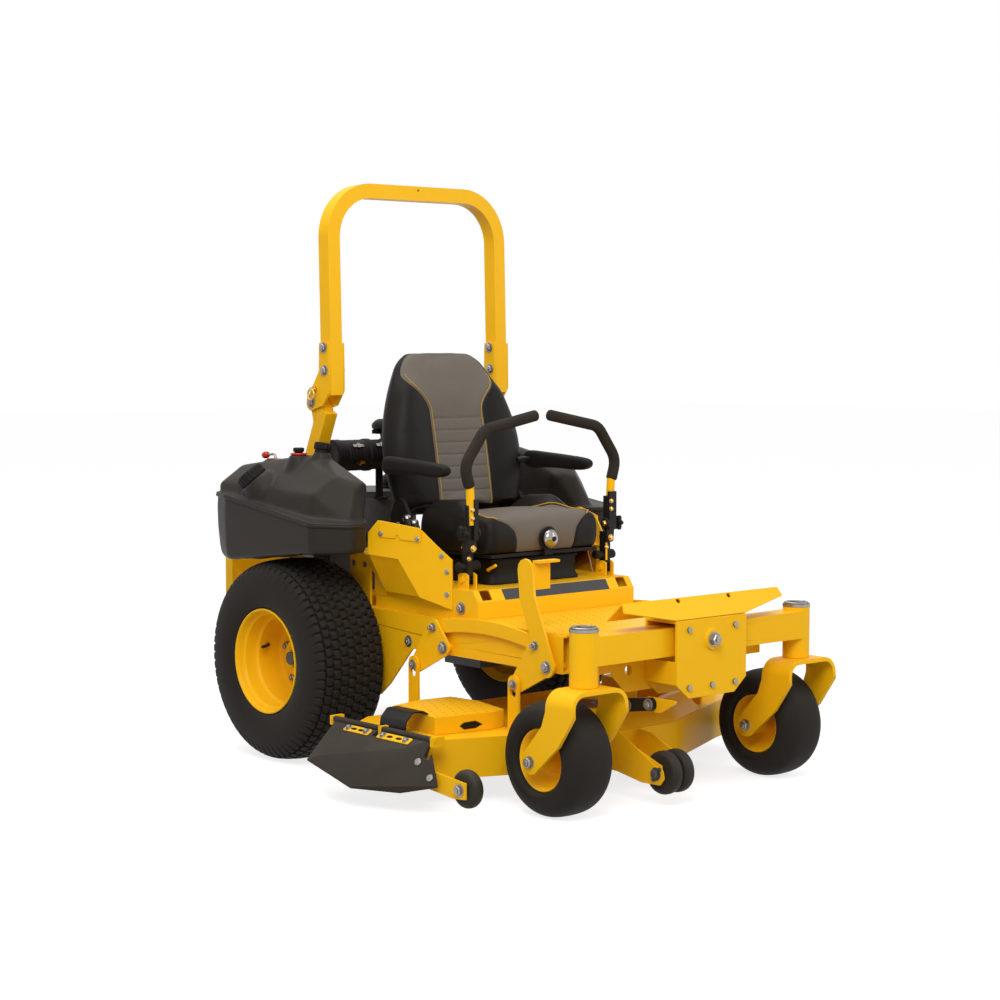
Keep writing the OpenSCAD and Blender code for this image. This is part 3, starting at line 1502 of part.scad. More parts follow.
module chute() {
    color(rubber)
    difference() {
        union() {
            difference() {
                chute_body();
                translate([chute_skin, chute_skin, -chute_skin - 2]) chute_body();
            }
            for (i = [0 : 1])
                rod_y(chute_brackets[i] + bracket_w / 2 + pass_gap,
                    chute_brackets[i + 1] - bracket_w / 2 - pass_gap,
                    chute_rod, sleeve_r);
        }
        rod_y(-920, -370, chute_rod, chute_rod_r + run_clear);
        for (y = chute_brackets)
            block([chute_rod[0] - 28, y - bracket_w / 2 - pass_gap, deck_top - 40],
                [-600, y + bracket_w / 2 + pass_gap, chute_rod[1] + 40]);
    }
}

// Blade spindles: shaft, pulley and blade
module spindle(spot, turn) {
    translate([spot[0], spot[1], 0]) rotate([0, 0, turn]) {
        rod_z(blade_z - 10, pulley_z + 26, [0, 0], blade_shaft_r);
        hex_z(blade_z - 18, blade_z, [0, 0], blade_shaft_r + 5);
        block([-blade_r, -30, blade_z], [blade_r, 30, blade_z + 6]);
        for (s = [-1, 1])
            block([s * blade_r * 0.8 - 38, s * 20 - 10, blade_z],
                [s * blade_r * 0.8 + 38, s * 20 + 10, blade_z + 16]);
        translate([0, 0, pulley_z])
            rotate_extrude()
            polygon([[0, 0], [spindle_pulley_r, 0], [spindle_pulley_r, 4], [spindle_pulley_r - 13, 9],
                [spindle_pulley_r - 13, 12], [spindle_pulley_r, 17], [spindle_pulley_r, 21], [0, 21]]);
    }
}

module spindle_right() {
    color(steel) spindle(spindle_spots[0], 20);
}

module spindle_middle() {
    color(steel) spindle(spindle_spots[1], 75);
}

module spindle_left() {
    color(steel) spindle(spindle_spots[2], 130);
}

module nose_rollers() {
    color(rubber)
    translate([0, nose_y, nose_z])
    difference() {
        union() {
            for (s = [-1, 1])
                turned_x(nose_x + s * (nose_roller_w + nose_gap) / 2)
                    polygon(concat([[0, -nose_roller_w / 2]], arc([nose_roller_r - 14,
                        -nose_roller_w / 2 + 14], 14, -90, 0, 5),
                        arc([nose_roller_r - 14, nose_roller_w / 2 - 14], 14, 0, 90, 5),
                            [[0, nose_roller_w / 2]]));
            rod_x(nose_x - nose_half + 1, nose_x + nose_half - 1, [0, 0], 18);
        }
        rod_x(nose_x - 100, nose_x + 100, [0, 0], wheel_axle_r + run_clear);
    }
}

module side_wheel() {
    translate([0, side_wheel_y, side_wheel_z])
    difference() {
        turned_x(side_wheel_x)
            polygon(concat([[0, -side_wheel_w / 2]], arc([side_wheel_r - 18, -side_wheel_w / 2 + 18], 18,
                -90, 0, 5),
                arc([side_wheel_r - 18, side_wheel_w / 2 - 18], 18, 0, 90, 5), [[0, side_wheel_w / 2]]));
        rod_x(0, 800, [0, 0], wheel_axle_r + run_clear);
    }
}

module side_wheel_right() {
    color(rubber) on_right() side_wheel();
}

module side_wheel_left() {
    color(rubber) side_wheel();
}

frame_rails();
rear_frame();
front_housing();
floor_pan();
kick_plate();
seat_console();
fender_panels();
rops_posts();
tank_right();
tank_left();
engine();
air_cleaner();
silencer();
transaxles();
seat_base();
chassis_bolts();
axle_beam();
bearing_caps();
fork_right();
fork_left();
caster_tyre_right();
caster_rim_right();
caster_tyre_left();
caster_rim_left();
rear_tyre_right();
rear_rim_right();
rear_tyre_left();
rear_rim_left();
rops_hoop();
lock_pin_right();
lock_pin_left();
lever_arm_right();
lever_arm_left();
lever_handle_right();
lever_handle_left();
lever_grip_right();
lever_grip_left();
seat_pan();
seat_cushion();
seat_back();
armrest_right();
armrest_left();
seat_knob();
front_lift();
rear_lift();
lift_links();
deck_shell();
belt_covers();
chute();
spindle_right();
spindle_middle();
spindle_left();
nose_rollers();
side_wheel_right();
side_wheel_left();
engine_pulley();
fuel_cap_right();
fuel_cap_left();
throttle_lever();
blade_switch();
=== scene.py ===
import json
import math

import bmesh
import bpy
from mathutils import Matrix, Vector


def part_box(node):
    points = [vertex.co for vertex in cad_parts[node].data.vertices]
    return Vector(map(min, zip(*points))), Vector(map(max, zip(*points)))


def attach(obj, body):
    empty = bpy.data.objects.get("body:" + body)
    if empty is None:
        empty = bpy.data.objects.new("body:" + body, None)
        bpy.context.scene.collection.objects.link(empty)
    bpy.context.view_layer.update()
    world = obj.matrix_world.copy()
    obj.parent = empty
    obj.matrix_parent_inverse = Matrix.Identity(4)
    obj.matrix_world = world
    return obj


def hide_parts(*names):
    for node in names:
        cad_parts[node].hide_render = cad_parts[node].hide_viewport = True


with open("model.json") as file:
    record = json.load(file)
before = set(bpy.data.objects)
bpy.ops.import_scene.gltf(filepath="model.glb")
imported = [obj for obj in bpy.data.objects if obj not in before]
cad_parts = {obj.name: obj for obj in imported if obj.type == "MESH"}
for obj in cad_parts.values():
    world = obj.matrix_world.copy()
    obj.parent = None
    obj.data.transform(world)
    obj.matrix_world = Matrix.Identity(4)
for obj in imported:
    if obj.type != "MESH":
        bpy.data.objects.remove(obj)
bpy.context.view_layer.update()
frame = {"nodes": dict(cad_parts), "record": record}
nodes = frame["nodes"]
scene = bpy.context.scene
mm = 0.001
print("frame loaded,", len(nodes), "nodes")

# camera, light and floor
shot = {
    "azimuth": -40.9845, "elevation": 4.1849,      # degrees
    "place": (-4.21085, -5.25062, 1.25879),        # metres
    "lens": 76.073, "sensor": 36.0,                # mm
}
studio = {
    "worldLight": 0.52, "floorColor": (0.40, 0.40, 0.40, 1.0), "floorGlow": 0.78, "floorHalf": 30.0,
    "lamps": [      # name, place, aim, size in metres, power in watts
        ("keyLamp", (-3.6, -4.2, 4.6), (0.0, -0.3, 0.6), 3.2, 232.0),
        ("fillLamp", (3.8, -4.6, 2.6), (0.0, -0.4, 0.6), 3.6, 62.0),
        ("topLamp", (-0.6, 0.6, 5.2), (0.0, -0.2, 0.4), 3.6, 108.0)],
}


def addCamera():
    azimuth, elevation = math.radians(shot["azimuth"]), math.radians(shot["elevation"])
    back = Vector((math.sin(azimuth) * math.cos(elevation), -math.cos(azimuth) * math.cos(elevation),
                   math.sin(elevation)))
    data = bpy.data.cameras.new("shotCamera")
    data.lens = shot["lens"]
    data.sensor_width = shot["sensor"]
    data.clip_end = 60.0
    camera = bpy.data.objects.new("shotCamera", data)
    scene.collection.objects.link(camera)
    camera.rotation_mode = "QUATERNION"
    camera.rotation_quaternion = back.to_track_quat("Z", "Y")
    camera.location = shot["place"]
    scene.camera = camera


def addLamp(name, place, aim, size, power):
    data = bpy.data.lights.new(name, "AREA")
    data.shape = "DISK"
    data.size = size
    data.energy = power
    lamp = bpy.data.objects.new(name, data)
    scene.collection.objects.link(lamp)
    lamp.location = place
    lamp.rotation_mode = "QUATERNION"
    lamp.rotation_quaternion = (Vector(place) - Vector(aim)).to_track_quat("Z", "Y")


def backdropRays(tree):
    # camera, glossy and transmission rays see the pale backdrop itself
    path = tree.nodes.new("ShaderNodeLightPath")
    first = tree.nodes.new("ShaderNodeMath")
    first.operation = "ADD"
    second = tree.nodes.new("ShaderNodeMath")
    second.operation = "ADD"
    second.use_clamp = True
    tree.links.new(path.outputs["Is Camera Ray"], first.inputs[0])
    tree.links.new(path.outputs["Is Glossy Ray"], first.inputs[1])
    tree.links.new(first.outputs[0], second.inputs[0])
    tree.links.new(path.outputs["Is Transmission Ray"], second.inputs[1])
    return second.outputs[0]


def addStudio():
    scene.view_settings.view_transform = "Standard"
    world = bpy.data.worlds.new("paleRoom")
    scene.world = world
    world.use_nodes = True
    tree = world.node_tree
    tree.nodes.clear()
    lit = tree.nodes.new("ShaderNodeBackground")
    lit.inputs["Color"].default_value = (1.0, 1.0, 1.0, 1.0)
    lit.inputs["Strength"].default_value = studio["worldLight"]
    seen = tree.nodes.new("ShaderNodeBackground")
    seen.inputs["Color"].default_value = (1.0, 1.0, 1.0, 1.0)
    seen.inputs["Strength"].default_value = 1.0
    mix = tree.nodes.new("ShaderNodeMixShader")
    out = tree.nodes.new("ShaderNodeOutputWorld")
    tree.links.new(backdropRays(tree), mix.inputs[0])
    tree.links.new(lit.outputs[0], mix.inputs[1])
    tree.links.new(seen.outputs[0], mix.inputs[2])
    tree.links.new(mix.outputs[0], out.inputs["Surface"])

    for row in studio["lamps"]:
        addLamp(*row)

    material = bpy.data.materials.new("paleFloor")
    material.use_nodes = True
    tree = material.node_tree
    tree.nodes.clear()
    matte = tree.nodes.new("ShaderNodeBsdfDiffuse")
    matte.inputs["Color"].default_value = studio["floorColor"]
    glow = tree.nodes.new("ShaderNodeEmission")
    glow.inputs["Color"].default_value = (1.0, 1.0, 1.0, 1.0)
    amount = tree.nodes.new("ShaderNodeMath")
    amount.operation = "MULTIPLY"
    amount.inputs[1].default_value = studio["floorGlow"]
    both = tree.nodes.new("ShaderNodeAddShader")
    out = tree.nodes.new("ShaderNodeOutputMaterial")
    tree.links.new(backdropRays(tree), amount.inputs[0])
    tree.links.new(amount.outputs[0], glow.inputs["Strength"])
    tree.links.new(matte.outputs[0], both.inputs[0])
    tree.links.new(glow.outputs[0], both.inputs[1])
    tree.links.new(both.outputs[0], out.inputs["Surface"])
    mesh = bpy.data.meshes.new("studioFloor")
    half = studio["floorHalf"]
    mesh.from_pydata([(-half, -half, 0), (half, -half, 0), (half, half, 0), (-half, half, 0)], [], [(0, 1, 2, 3)])
    floor = bpy.data.objects.new("studioFloor", mesh)
    mesh.materials.append(material)
    scene.collection.objects.link(floor)


addCamera()
addStudio()
print("camera, lamps and floor placed")


# shader groups that several finishes share
def newGroup(name, inputs, outputs):
    group = bpy.data.node_groups.new(name, "ShaderNodeTree")
    for label, kind, value in inputs:
        socket = group.interface.new_socket(name=label, in_out="INPUT", socket_type=kind)
        socket.default_value = value
    for label, kind in outputs:
        group.interface.new_socket(name=label, in_out="OUTPUT", socket_type=kind)
    return group, group.nodes.new("NodeGroupInput"), group.nodes.new("NodeGroupOutput")


def addNode(tree, kind, settings=None, values=None):
    made = tree.nodes.new(kind)
    for key, value in (settings or {}).items():
        setattr(made, key, value)
    for key, value in (values or {}).items():
        made.inputs[key].default_value = value
    return made


def mathNode(tree, operation, first, second=None, clamp=False):
    made = addNode(tree, "ShaderNodeMath", {"operation": operation, "use_clamp": clamp})
    for slot, source in enumerate((first, second)):
        if source is None:
            continue
        if isinstance(source, (int, float)):
            made.inputs[slot].default_value = source
        else:
            tree.links.new(source, made.inputs[slot])
    return made.outputs[0]


def rangeNode(tree, source, fromLow, fromHigh, toLow, toHigh):
    made = addNode(tree, "ShaderNodeMapRange", {"interpolation_type": "SMOOTHSTEP"},
                   {"From Min": fromLow, "From Max": fromHigh, "To Min": toLow, "To Max": toHigh})
    tree.links.new(source, made.inputs["Value"])
    return made.outputs["Result"]


def noiseNode(tree, vector, scale, detail, rough=0.5):
    made = addNode(tree, "ShaderNodeTexNoise", {}, {"Detail": detail, "Roughness": rough})
    tree.links.new(vector, made.inputs["Vector"])
    if isinstance(scale, (int, float)):
        made.inputs["Scale"].default_value = scale
    else:
        tree.links.new(scale, made.inputs["Scale"])
    return made.outputs["Fac"]


def mixColor(tree, factor, first, second, blend="MIX"):
    made = addNode(tree, "ShaderNodeMix", {"data_type": "RGBA", "blend_type": blend})
    for slot, source in ((0, factor), (6, first), (7, second)):
        if isinstance(source, (int, float)):
            made.inputs[slot].default_value = source
        elif isinstance(source, tuple):
            made.inputs[slot].default_value = source
        else:
            tree.links.new(source, made.inputs[slot])
    return made.outputs[2]


def makeDriftGroup():
    # slow colour drift with fine mottling, and dust that settles on upward faces
    group, enter, leave = newGroup("colorDrift", [
        ("Color", "NodeSocketColor", (0.5, 0.5, 0.5, 1.0)), ("Scale", "NodeSocketFloat", 6.0),
        ("Drift", "NodeSocketFloat", 0.1), ("Dust", "NodeSocketFloat", 0.05),
        ("Dust Color", "NodeSocketColor", (0.45, 0.42, 0.36, 1.0))],
        [("Color", "NodeSocketColor"), ("Rough Shift", "NodeSocketFloat")])
    where = group.nodes.new("ShaderNodeTexCoord")
    slow = noiseNode(group, where.outputs["Object"], enter.outputs["Scale"], 4.0, 0.6)
    fine = noiseNode(group, where.outputs["Object"], mathNode(group, "MULTIPLY", enter.outputs["Scale"], 14.0), 3.0)
    both = mathNode(group, "ADD", mathNode(group, "MULTIPLY", slow, 0.7), mathNode(group, "MULTIPLY", fine, 0.3))
    swing = mathNode(group, "MULTIPLY", mathNode(group, "SUBTRACT", both, 0.5), enter.outputs["Drift"])
    gain = mathNode(group, "ADD", 1.0, mathNode(group, "MULTIPLY", swing, 2.0))
    scaled = addNode(group, "ShaderNodeVectorMath", {"operation": "SCALE"})
    group.links.new(enter.outputs["Color"], scaled.inputs[0])
    group.links.new(gain, scaled.inputs["Scale"])
    shape = group.nodes.new("ShaderNodeNewGeometry")
    axes = group.nodes.new("ShaderNodeSeparateXYZ")
    group.links.new(shape.outputs["Normal"], axes.inputs[0])
    upward = rangeNode(group, axes.outputs["Z"], 0.2, 0.95, 0.0, 1.0)
    settle = mathNode(group, "MULTIPLY", mathNode(group, "MULTIPLY", upward, enter.outputs["Dust"]),
                      rangeNode(group, slow, 0.3, 0.7, 0.3, 1.0))
    group.links.new(mixColor(group, settle, scaled.outputs[0], enter.outputs["Dust Color"]), leave.inputs["Color"])
    group.links.new(mathNode(group, "ADD", mathNode(group, "MULTIPLY", swing, 0.6), settle),
                    leave.inputs["Rough Shift"])
    return group


def makePeelGroup():
    # fine waviness of a sprayed coat
    group, enter, leave = newGroup("sprayPeel", [("Scale", "NodeSocketFloat", 260.0)],
                                   [("Height", "NodeSocketFloat")])
    where = group.nodes.new("ShaderNodeTexCoord")
    waves = noiseNode(group, where.outputs["Object"], enter.outputs["Scale"], 2.0, 0.4)
    slow = noiseNode(group, where.outputs["Object"], 14.0, 1.0)
    group.links.new(mathNode(group, "ADD", waves, mathNode(group, "MULTIPLY", slow, 1.5)), leave.inputs["Height"])
    return group


def makeGrainGroup():
    # pebbled grain of moulded plastic and sewn vinyl; its Shade output is painted shade that darkens the grooves
    # between the pebbles
    group, enter, leave = newGroup("pebbleGrain", [("Scale", "NodeSocketFloat", 600.0),
                                                   ("Pores", "NodeSocketFloat", 0.4)],
                                   [("Height", "NodeSocketFloat"), ("Shade", "NodeSocketFloat")])
    where = group.nodes.new("ShaderNodeTexCoord")
    warp = addNode(group, "ShaderNodeTexNoise", {}, {"Scale": 90.0, "Detail": 1.0})
    group.links.new(where.outputs["Object"], warp.inputs["Vector"])
    push = addNode(group, "ShaderNodeVectorMath", {"operation": "MULTIPLY_ADD"})
    push.inputs[1].default_value = (0.004, 0.004, 0.004)
    group.links.new(warp.outputs["Color"], push.inputs[0])
    group.links.new(where.outputs["Object"], push.inputs[2])
    cells = addNode(group, "ShaderNodeTexVoronoi", {"feature": "DISTANCE_TO_EDGE"})
    group.links.new(push.outputs[0], cells.inputs["Vector"])
    group.links.new(enter.outputs["Scale"], cells.inputs["Scale"])
    pebble = rangeNode(group, cells.outputs["Distance"], 0.0, 0.28, 0.0, 1.0)
    pores = noiseNode(group, where.outputs["Object"], mathNode(group, "MULTIPLY", enter.outputs["Scale"], 1.7), 2.0)
    height = mathNode(group, "ADD", pebble, mathNode(group, "MULTIPLY", pores, enter.outputs["Pores"]))
    group.links.new(height, leave.inputs["Height"])
    group.links.new(rangeNode(group, pebble, 0.0, 1.0, 0.86, 1.0), leave.inputs["Shade"])
    return group


def makeDotGroup():
    # staggered punched dots on upward faces of tread sheet; the mask drives their dent and their painted shade
    group, enter, leave = newGroup("treadDots", [("Pitch", "NodeSocketFloat", 0.036),
                                                 ("Radius", "NodeSocketFloat", 0.0042)],
                                   [("Mask", "NodeSocketFloat")])
    where = group.nodes.new("ShaderNodeTexCoord")
    axes = group.nodes.new("ShaderNodeSeparateXYZ")
    group.links.new(where.outputs["Object"], axes.inputs[0])
    along = mathNode(group, "DIVIDE", axes.outputs["Y"], enter.outputs["Pitch"])
    row = mathNode(group, "FLOOR", along)
    shift = mathNode(group, "MULTIPLY", mathNode(group, "MODULO", mathNode(group, "ADD", row, 1000.0), 2.0), 0.5)
    across = mathNode(group, "ADD", mathNode(group, "DIVIDE", axes.outputs["X"], enter.outputs["Pitch"]), shift)
    dx = mathNode(group, "SUBTRACT", mathNode(group, "FRACT", across), 0.5)
    dy = mathNode(group, "SUBTRACT", mathNode(group, "FRACT", along), 0.5)
    reach = mathNode(group, "SQRT", mathNode(group, "ADD", mathNode(group, "MULTIPLY", dx, dx),
                                             mathNode(group, "MULTIPLY", dy, dy)))
    far = mathNode(group, "DIVIDE", mathNode(group, "MULTIPLY", reach, enter.outputs["Pitch"]),
                   enter.outputs["Radius"])
    dot = rangeNode(group, far, 0.8, 1.15, 1.0, 0.0)
    shape = group.nodes.new("ShaderNodeNewGeometry")
    facing = group.nodes.new("ShaderNodeSeparateXYZ")
    group.links.new(shape.outputs["Normal"], facing.inputs[0])
    group.links.new(mathNode(group, "MULTIPLY", dot, rangeNode(group, facing.outputs["Z"], 0.9, 0.98, 0.0, 1.0)),
                    leave.inputs["Mask"])
    return group


def makeBrushGroup():
    # short tool marks on plated and brushed metal
    group, enter, leave = newGroup("toolMarks", [("Scale", "NodeSocketFloat", 220.0)],
                                   [("Height", "NodeSocketFloat"), ("Rough Shift", "NodeSocketFloat")])
    where = group.nodes.new("ShaderNodeTexCoord")
    stretch = addNode(group, "ShaderNodeMapping")
    stretch.inputs["Scale"].default_value = (1.0, 1.0, 9.0)
    group.links.new(where.outputs["Object"], stretch.inputs["Vector"])
    marks = noiseNode(group, stretch.outputs["Vector"], enter.outputs["Scale"], 3.0)
    stain = noiseNode(group, where.outputs["Object"], 60.0, 3.0)
    group.links.new(marks, leave.inputs["Height"])
    group.links.new(mathNode(group, "MULTIPLY", mathNode(group, "SUBTRACT", stain, 0.5), 0.35),
                    leave.inputs["Rough Shift"])
    return group


driftGroup = makeDriftGroup()
peelGroup = makePeelGroup()
grainGroup = makeGrainGroup()
dotGroup = makeDotGroup()
brushGroup = makeBrushGroup()


def placeGroup(tree, group, values):
    made = tree.nodes.new("ShaderNodeGroup")
    made.node_tree = group
    for key, value in values.items():
        made.inputs[key].default_value = value
    return made


# finishes: colour is linear, bump is in millimetres
finishes = {
    "yellowCoat": {"color": (0.930, 0.495, 0.006), "rough": 0.38, "drift": 0.05, "dust": 0.02, "scale": 3.0,
                   "kind": "peel", "texture": 420.0, "bump": 0.05, "coat": 0.02, "shine": 0.11},
    "treadCoat": {"color": (0.930, 0.495, 0.006), "rough": 0.40, "drift": 0.05, "dust": 0.03, "scale": 3.0,
                  "kind": "peel", "texture": 420.0, "bump": 0.05, "coat": 0.02, "shine": 0.11,
                  "dots": (0.034, 0.0030)},
    "blackCoat": {"color": (0.0115, 0.0100, 0.0085), "rough": 0.40, "drift": 0.10, "dust": 0.02, "scale": 8.0,
                  "kind": "peel", "texture": 420.0, "bump": 0.05, "coat": 0.1},
    "tankPlastic": {"color": (0.0260, 0.0212, 0.0168), "rough": 0.42, "drift": 0.10, "dust": 0.03, "scale": 4.0,
                    "kind": "grain", "texture": 420.0, "bump": 0.16, "coat": 0.0},
    "blackPlastic": {"color": (0.0115, 0.0096, 0.0078), "rough": 0.48, "drift": 0.10, "dust": 0.02, "scale": 6.0,
                     "kind": "grain", "texture": 700.0, "bump": 0.10, "coat": 0.0},
    "tyreRubber": {"color": (0.0190, 0.0158, 0.0126), "rough": 0.66, "drift": 0.16, "dust": 0.04, "scale": 5.0,
                   "kind": "grain", "texture": 520.0, "bump": 0.12, "coat": 0.0},
    "flapRubber": {"color": (0.0340, 0.0272, 0.0208), "rough": 0.52, "drift": 0.16, "dust": 0.05, "scale": 5.0,
                   "kind": "grain", "texture": 380.0, "bump": 0.16, "coat": 0.0},
    "gripFoam": {"color": (0.032, 0.026, 0.021), "rough": 0.88, "drift": 0.14, "dust": 0.02, "scale": 12.0,
                 "kind": "grain", "texture": 900.0, "bump": 0.30, "coat": 0.0},
    "armFoam": {"color": (0.0110, 0.0092, 0.0076), "rough": 0.58, "drift": 0.10, "dust": 0.02, "scale": 10.0,
                "kind": "grain", "texture": 620.0, "bump": 0.20, "coat": 0.0},
    "darkVinyl": {"color": (0.0105, 0.0086, 0.0068), "rough": 0.42, "drift": 0.12, "dust": 0.01, "scale": 7.0,
                  "kind": "grain", "texture": 480.0, "bump": 0.20, "coat": 0.0},
    "taupeVinyl": {"color": (0.150, 0.128, 0.105), "rough": 0.50, "drift": 0.10, "dust": 0.01, "scale": 7.0,
                   "kind": "grain", "texture": 520.0, "bump": 0.18, "coat": 0.0},
    "yellowThread": {"color": (0.55, 0.32, 0.03), "rough": 0.7, "drift": 0.2, "dust": 0.0, "scale": 60.0,
                     "kind": "grain", "texture": 1500.0, "bump": 0.10, "coat": 0.0},
    "zincSteel": {"color": (0.30, 0.285, 0.265), "rough": 0.40, "drift": 0.16, "dust": 0.0, "scale": 30.0,
                  "kind": "brush", "texture": 300.0, "bump": 0.03, "coat": 0.0, "metal": 1.0},
    "goldSteel": {"color": (0.62, 0.42, 0.14), "rough": 0.34, "drift": 0.2, "dust": 0.0, "scale": 30.0,
                  "kind": "brush", "texture": 300.0, "bump": 0.03, "coat": 0.0, "metal": 1.0},
    "brightChrome": {"color": (0.36, 0.345, 0.325), "rough": 0.16, "drift": 0.06, "dust": 0.0, "scale": 20.0,
                     "kind": "brush", "texture": 300.0, "bump": 0.01, "coat": 0.0, "metal": 1.0},
    "engineAlloy": {"color": (0.10, 0.10, 0.10), "rough": 0.52, "drift": 0.2, "dust": 0.03, "scale": 9.0,
                    "kind": "grain", "texture": 500.0, "bump": 0.25, "coat": 0.0, "metal": 0.6},
    "sparkPipe": {"color": (0.24, 0.22, 0.20), "rough": 0.5, "drift": 0.35, "dust": 0.02, "scale": 7.0,
                  "kind": "brush", "texture": 160.0, "bump": 0.05, "coat": 0.0, "metal": 0.9},
    "redPlastic": {"color": (0.60, 0.018, 0.012), "rough": 0.30, "drift": 0.06, "dust": 0.0, "scale": 30.0,
                   "kind": "grain", "texture": 900.0, "bump": 0.03, "coat": 0.3},
    "paleMark": {"color": (0.72, 0.72, 0.70), "rough": 0.5, "drift": 0.08, "dust": 0.0, "scale": 60.0,
                 "kind": "peel", "texture": 500.0, "bump": 0.02, "coat": 0.0},
    "panelGrey": {"color": (0.045, 0.047, 0.052), "rough": 0.38, "drift": 0.10, "dust": 0.02, "scale": 12.0,
                  "kind": "peel", "texture": 420.0, "bump": 0.03, "coat": 0.3},
}
looks = {}


def makeFinish(name, look):
    material = bpy.data.materials.new(name)
    material.use_nodes = True
    tree = material.node_tree
    shader = tree.nodes["Principled BSDF"]
    color = (*look["color"], 1.0)
    drift = placeGroup(tree, driftGroup, {"Color": color, "Scale": look["scale"], "Drift": look["drift"],
                                          "Dust": look["dust"]})
    tint = drift.outputs["Color"]
    if look["kind"] == "peel":
        relief = placeGroup(tree, peelGroup, {"Scale": look["texture"]})
    elif look["kind"] == "grain":
        relief = placeGroup(tree, grainGroup, {"Scale": look["texture"]})
        # painted shade in the grooves of the grain, multiplied into the colour
        tint = mixColor(tree, 1.0, tint, relief.outputs["Shade"], "MULTIPLY")
    else:
        relief = placeGroup(tree, brushGroup, {"Scale": look["texture"]})
    height = relief.outputs["Height"]
    if "dots" in look:
        dots = placeGroup(tree, dotGroup, {"Pitch": look["dots"][0], "Radius": look["dots"][1]})
        # the dots are darkened to 0.22 of the coat: painted shade inside the punched dots
        dotShadeColor = tuple(0.22 * c for c in look["color"]) + (1.0,)
        tint = mixColor(tree, dots.outputs["Mask"], tint, dotShadeColor)
        height = mathNode(tree, "SUBTRACT", height, mathNode(tree, "MULTIPLY", dots.outputs["Mask"], 12.0))
    tree.links.new(tint, shader.inputs["Base Color"])
    rough = mathNode(tree, "ADD", drift.outputs["Rough Shift"], look["rough"], True)
    if look["kind"] == "brush":
        rough = mathNode(tree, "ADD", rough, relief.outputs["Rough Shift"], True)
    tree.links.new(rough, shader.inputs["Roughness"])
    shader.inputs["Metallic"].default_value = look.get("metal", 0.0)
    shader.inputs["Coat Weight"].default_value = look["coat"]
    shader.inputs["Coat Roughness"].default_value = 0.12
    shader.inputs["Specular IOR Level"].default_value = look.get("shine", 0.12)
    bump = addNode(tree, "ShaderNodeBump", {}, {"Strength": 0.6, "Distance": look["bump"] * mm})
    tree.links.new(height, bump.inputs["Height"])
    tree.links.new(bump.outputs["Normal"], shader.inputs["Normal"])
    looks[name] = material


for finishName, finishLook in finishes.items():
    makeFinish(finishName, finishLook)
print("finishes made:", len(looks))

# finish and edge rounding of the CAD nodes that stay
slotFinish = {
    "yellow_paint": "yellowCoat", "black_plastic": "blackPlastic", "tyre_rubber": "tyreRubber",
    "soft_rubber": "flapRubber", "vinyl": "darkVinyl", "engine_metal": "engineAlloy", "dark_steel": "blackCoat",
    "bright_steel": "zincSteel", "warm_steel": "sparkPipe", "red_plastic": "redPlastic",
}
nodeFinish = {"floor_pan": "treadCoat", "belt_covers": "treadCoat", "tank_right": "tankPlastic",
              "tank_left": "tankPlastic", "lock_pin_right": "goldSteel", "lock_pin_left": "goldSteel"}
edgeRadius = {
    "floor_pan": 1.2, "belt_covers": 3.0, "seat_console": 2.0, "rops_hoop": 3.0, "rops_posts": 3.0,
    "axle_beam": 4.0, "fork_right": 2.2, "fork_left": 2.2, "front_housing": 1.5, "kick_plate": 1.2,
    "deck_shell": 1.2, "chute": 2.0, "front_lift": 1.4, "rear_lift": 1.4, "lift_links": 1.4,
    "frame_rails": 3.0, "bearing_caps": 2.5, "fender_panels": 1.4,
}


def dressNode(name, obj, slot):
    obj.data.materials.clear()
    obj.data.materials.append(looks[nodeFinish.get(name, slotFinish[slot])])
    weld = obj.modifiers.new("joinSeams", "WELD")
    weld.merge_threshold = 0.00002
    bevel = obj.modifiers.new("softEdge", "BEVEL")
    bevel.width = edgeRadius.get(name, 0.8) * mm
    bevel.segments = 2
    bevel.limit_method = "ANGLE"
    bevel.angle_limit = math.radians(38)
    bevel.use_clamp_overlap = True
    bevel.harden_normals = False
    for polygon in obj.data.polygons:
        polygon.use_smooth = True
    level = obj.modifiers.new("evenNormals", "WEIGHTED_NORMAL")
    level.keep_sharp = False


for part in frame["record"]["subparts"]:
    dressNode(part["node"], nodes[part["node"]], part["material_slot"])
print("CAD nodes dressed")

# mesh building: a shape is a pair of point and face lists, in millimetres
def joinShapes(shapes):
    points, faces = [], []
    for more, loops in shapes:
        base = len(points)
        points.extend(more)
        faces.extend([tuple(base + i for i in loop) for loop in loops])
    return points, faces


def moveShape(shape, matrix):
    return [matrix @ Vector(p) for p in shape[0]], shape[1]


def mirrorShape(shape):
    return [Vector((-p[0], p[1], p[2])) for p in shape[0]], [tuple(reversed(loop)) for loop in shape[1]]


def onSide(shape, side):
    # shapes are drawn for the left side, +X
    return shape if side > 0 else mirrorShape(shape)


def loftShape(rings, capStart=True, capEnd=True):
    count = len(rings[0])
    points = [Vector(p) for ring in rings for p in ring]
    faces = []
    for i in range(len(rings) - 1):
        for j in range(count):
            k = (j + 1) % count
            faces.append((i * count + j, i * count + k, (i + 1) * count + k, (i + 1) * count + j))
    for ring, wanted, flip in ((0, capStart, True), (len(rings) - 1, capEnd, False)):
        if wanted:
            middle = sum((Vector(p) for p in rings[ring]), Vector()) / count
            points.append(middle)
            for j in range(count):
                pair = (ring * count + j, ring * count + (j + 1) % count)
                faces.append((pair[1], pair[0], len(points) - 1) if flip else (pair[0], pair[1], len(points) - 1))
    return points, faces


def turnShape(profile, steps, closed=True):
    # profile rows are (distance along Z, radius); turned about Z
    rings = []
    for along, radius in profile:
        rings.append([Vector((radius * math.cos(2 * math.pi * j / steps),
                              radius * math.sin(2 * math.pi * j / steps), along))
                      for j in range(steps)])
    if closed:
        rings.append(rings[0])
        points, faces = loftShape(rings, False, False)
        last = (len(rings) - 1) * steps
        faces = [tuple(i - last if i >= last else i for i in loop) for loop in faces]
        return points[:last], faces
    return loftShape(rings)


